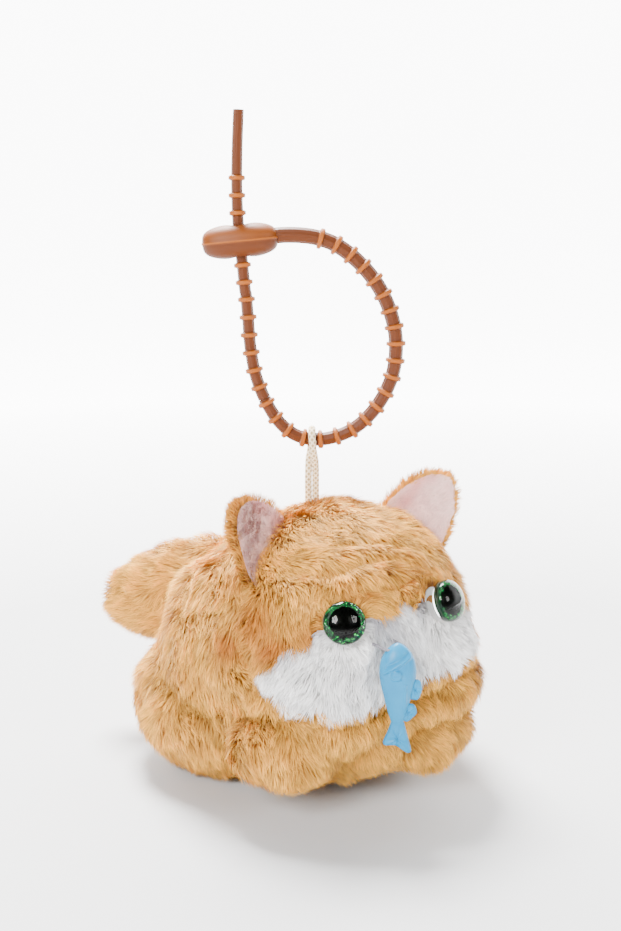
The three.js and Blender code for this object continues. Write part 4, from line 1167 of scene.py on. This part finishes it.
turn = np.linspace(0, math.pi / 2, 20)
for side, sign in (("left", 1), ("right", -1)):
    matrix = eye_place(sign)
    dome = [(0, -0.3), (EYE_R - 0.2, -0.3), (EYE_R, -0.1), (EYE_R, 1.5)]
    dome += [(EYE_R * math.cos(t), 1.5 + EYE_DOME * math.sin(t)) for t in turn[1:-1]]
    dome.append((0, 1.5 + EYE_DOME))
    lens = turned("eye_dome_" + side, dome, matrix, acrylic)
    disc = [(0, 0), (EYE_R - 0.6, 0), (EYE_R - 0.3, 0.2)]
    disc += [(EYE_R - 0.3, 1.1), (EYE_R - 0.5, 1.25), (0, 1.25)]
    glitter = turned("eye_iris_" + side, disc, matrix, varnish)
    pupil = [(0, 1.3), (PUPIL_R - 0.2, 1.3), (PUPIL_R, 1.4), (PUPIL_R - 0.2, 1.75), (0, 1.8)]
    black = turned("eye_pupil_" + side, pupil, matrix, pupil_paint)
    rng = np.random.default_rng(900 + sign)
    count = 190
    spin = rng.uniform(0, 2 * math.pi, count)
    off = np.sqrt(rng.uniform((PUPIL_R - 0.1) ** 2, (EYE_R - 0.5) ** 2, count))
    middle = np.stack([off * np.cos(spin), off * np.sin(spin), rng.uniform(1.35, 1.75, count)], -1)
    hexagon = np.linspace(0, 2 * math.pi, 6, endpoint=False)[None, :] + rng.uniform(0, 1, (count, 1))
    size = FLAKE / 2 * rng.uniform(0.6, 1.2, (count, 1))
    tilt = rng.normal(0, 0.5, (count, 2))
    rim = np.stack([size * np.cos(hexagon), size * np.sin(hexagon)], -1)
    lift = (rim * tilt[:, None]).sum(-1, keepdims=True)
    corners = middle[:, None] + np.concatenate([rim, lift], -1)
    corners = corners.reshape(-1, 3) @ matrix[:3] + matrix[3]
    fan = np.array([[0, 1, 2], [0, 2, 3], [0, 3, 4], [0, 4, 5]])
    faces = (np.arange(count)[:, None, None] * 6 + fan[None]).reshape(-1, 3)
    flakes = surface("eye_flakes_" + side, to_world(corners), faces, foil, smooth=False)
    for piece, covers, finish in (
        (lens, "eye_lens_", "eye_clear"), (glitter, "eye_glitter_", "eye_glitter"),
        (flakes, "eye_glitter_", "eye_glitter"), (black, "eye_post_", "eye_black"),
    ):
        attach(piece, "plush")
        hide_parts(covers + side)

# White polypropylene washers behind the cloth keep their CAD shape.
washer_plastic, tree, shader = finish_named("white_polypropylene")
place = node(tree, "ShaderNodeTexCoord")
mould = node(tree, "ShaderNodeTexNoise", {"Scale": 500}, Vector=place.outputs["Object"])
bump = node(tree, "ShaderNodeBump", {"Strength": 0.1, "Distance": 0.0001}, Height=mould.outputs["Fac"])
tree.links.new(bump.outputs["Normal"], shader.inputs["Normal"])
shader.inputs["Base Color"].default_value = (*linear("#E6E6E2"), 1)
shader.inputs["Roughness"].default_value = 0.5
for side in ("left", "right"):
    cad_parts["eye_washer_" + side].data.materials[0] = washer_plastic

# ---------------------------------------------------------------- fish
# One moulding of satin blue plastic, hung head up by a stitch through its mouth.
FISH_YAW = math.radians(-32)
FISH_HALF_WIDTH = 5.4
FISH_HALF_THICK = 3.5
FISH_LENGTH = 25
FISH_NOSE = 1.9

fish_plastic, tree, shader = finish_named("moulded_blue_plastic")
place = node(tree, "ShaderNodeTexCoord")
cloud = node(tree, "ShaderNodeTexNoise", {"Scale": 160, "Detail": 3}, Vector=place.outputs["Object"])
tint = node(tree, "ShaderNodeMix", {"data_type": "RGBA"}, Factor=cloud.outputs["Fac"])
tint.inputs["A"].default_value = (*linear("#006E9E"), 1)
tint.inputs["B"].default_value = (*linear("#0086B4"), 1)
tree.links.new(tint.outputs["Result"], shader.inputs["Base Color"])
grain = node(tree, "ShaderNodeTexNoise", {"Scale": 1800}, Vector=place.outputs["Object"])
bump = node(tree, "ShaderNodeBump", {"Strength": 0.06, "Distance": 0.0001}, Height=grain.outputs["Fac"])
tree.links.new(bump.outputs["Normal"], shader.inputs["Normal"])
shader.inputs["Roughness"].default_value = 0.4
shader.inputs["Specular IOR Level"].default_value = 0.3

fish_frame = np.array([
    [math.cos(FISH_YAW), math.sin(FISH_YAW), 0],
    [-math.sin(FISH_YAW), math.cos(FISH_YAW), 0],
    [0, 0, 1],
])


def fish_place(points):
    """From the fish's own axes, flank to -Y and head up, to the frame."""
    return to_world(np.asarray(points) @ fish_frame + FISH_HANG)


def raised_edge(distance, high, soft):
    """A step of some height that fades over a soft width."""
    return high / (1 + np.exp(-distance / soft))


rows, around = 130, 96
s = np.linspace(0.004, 0.996, rows)[:, None]
u = np.linspace(0, 2 * math.pi, around, endpoint=False)[None, :]
wide = np.sin(np.pi * s**0.65) * (1 - 0.18 * s) + 0.16 * s * raised_edge(s - 0.68, 1, 0.05)
wide = np.clip(wide, 0.02, None)
fish_x = FISH_HALF_WIDTH * wide * np.sign(np.cos(u)) * np.abs(np.cos(u)) ** 0.85
fish_y = FISH_HALF_THICK * wide * np.sign(np.sin(u)) * np.abs(np.sin(u)) ** 0.95
fish_z = FISH_NOSE - FISH_LENGTH * s + 0 * u
band_z = -3.6 + 0.6 * fish_x
face = 0.75 * np.exp(-(((fish_z - band_z) / 0.5) ** 2)) + raised_edge(fish_z - band_z, 0.25, 0.2)
mouth = -0.45 * np.exp(-(((fish_z - band_z - 1.4) / 0.3) ** 2)) * (np.abs(fish_x) < 3.4)
eye_far = np.hypot(fish_x + 0.4, fish_z + 6.4)
eye_disc = raised_edge(1.5 - eye_far, 0.7, 0.08) - 0.25 * np.exp(-((eye_far / 0.45) ** 2))
side_line = 0.6 * np.exp(-(((fish_x - 1.9 + 0.02 * fish_z) / 0.32) ** 2)) * (fish_z < -9)
bulge = (face + mouth + eye_disc + side_line) * np.abs(np.sin(u)) ** 0.6 * np.clip(wide * 2, 0, 1)
fish_y = fish_y + np.sign(fish_y) * bulge
fish_points = np.stack([fish_x, fish_y, fish_z], -1).reshape(-1, 3)
fish_points = np.vstack([fish_points, [0, 0, FISH_NOSE], [0, 0, FISH_NOSE - FISH_LENGTH]])
fish_body = closed_tube("fish_body", fish_place(fish_points), rows, around, fish_plastic)


def fin(name, outline, thick, ribs=0.0):
    """A plate with rounded edges: rings shrink from the outline to its middle, and each
    side bulges as an ellipse, with low ribs that fan out."""
    edge = []
    outline = np.array(outline, float)
    for a, b in zip(outline, np.roll(outline, -1, 0)):
        edge.append(a + (b - a) * np.linspace(0, 1, 8, endpoint=False)[:, None])
    edge = np.vstack(edge)
    for _ in range(5):
        edge = (np.roll(edge, 1, 0) + 2 * edge + np.roll(edge, -1, 0)) / 4
    middle = edge.mean(0)
    shrink = np.concatenate([np.linspace(0.04, 1, 9), np.linspace(1, 0.04, 9)[1:]])[:, None, None]
    sheet = np.concatenate([np.ones(9), -np.ones(8)])[:, None]
    flat = middle + (edge[None] - middle) * shrink
    fan = np.sin(np.arctan2(flat[..., 1] - middle[1], flat[..., 0] - middle[0]) * 9)
    depth = sheet * thick / 2 * np.sqrt(np.clip(1 - shrink[..., 0] ** 4, 0, 1)) * (1 + ribs * fan)
    points = np.stack([flat[..., 0], depth, flat[..., 1]], -1).reshape(-1, 3)
    points = np.vstack([points, [middle[0], thick / 2, middle[1]], [middle[0], -thick / 2, middle[1]]])
    return closed_tube(name, fish_place(points), 17, len(edge), fish_plastic)


base = FISH_NOSE - FISH_LENGTH + 1.7
tip = base - 8.5
tail_fin = fin("fish_tail", [(-1.3, base + 2), (-2.2, base - 1), (-4.0, tip + 3.3), (-3.6, tip + 2.2),
                             (-0.4, tip + 2.4), (0.8, tip + 1.5), (2.9, tip), (4.2, tip + 0.5),
                             (2.6, base - 2), (1.5, base + 2)], 2.0, 0.12)
side_fin = fin(
    "fish_fin_upper", [(2.6, -8), (6.3, -8.6), (6.9, -11.3), (5.7, -14.6), (2.6, -14.0)], 1.9, 0.12
)
low_fin = fin(
    "fish_fin_lower", [(0.9, -15), (4.8, -15.5), (5.6, -18.2), (2.8, -20.9), (0.8, -20)], 1.9, 0.12
)
for piece in (fish_body, tail_fin, side_fin, low_fin):
    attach(piece, "fish")
    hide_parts("fish_charm")

# The stitch: doubled grey sewing thread through the fish's mouth and back into the muzzle.
thread_fibre, tree, shader = finish_named("grey_sewing_thread")
place = node(tree, "ShaderNodeTexCoord")
twist = node(tree, "ShaderNodeTexWave", {"Scale": 900, "Distortion": 1}, Vector=place.outputs["Object"])
tint = node(tree, "ShaderNodeMix", {"data_type": "RGBA"}, Factor=twist.outputs["Fac"])
tint.inputs["A"].default_value = (*linear("#55525A"), 1)
tint.inputs["B"].default_value = (*linear("#8A878E"), 1)
tree.links.new(tint.outputs["Result"], shader.inputs["Base Color"])
shader.inputs["Roughness"].default_value = 0.8
hx, hy, hz = FISH_HANG
stitch_route = [
    (hx - 3.2, hy + 12, hz), (hx - 3.2, hy + 3, hz), (hx - 2.9, hy + 1, hz), (hx - 2, hy, hz),
    (hx + 2, hy, hz), (hx + 2.9, hy + 1, hz), (hx + 3.2, hy + 3, hz), (hx + 3.2, hy + 12, hz),
]
stitch_path, stitch_run = smooth_path(stitch_route, 0.15)
one, two = sides_of(stitch_path, (0, 0, 1))
u = np.linspace(0, 2 * math.pi, 12, endpoint=False)[None, :]
lay = 0.4 * (1 + 0.12 * np.cos(2 * u + 2 * math.pi * stitch_run[:, None] / 0.9))
ring = np.cos(u)[..., None] * one[:, None] + np.sin(u)[..., None] * two[:, None]
points = (stitch_path[:, None] + ring * lay[..., None]).reshape(-1, 3)
points = np.vstack([points, stitch_path[0], stitch_path[-1]])
stitch = closed_tube("fish_stitch", to_world(points), len(stitch_path), 12, thread_fibre)
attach(stitch, "plush")
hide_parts("fish_thread")
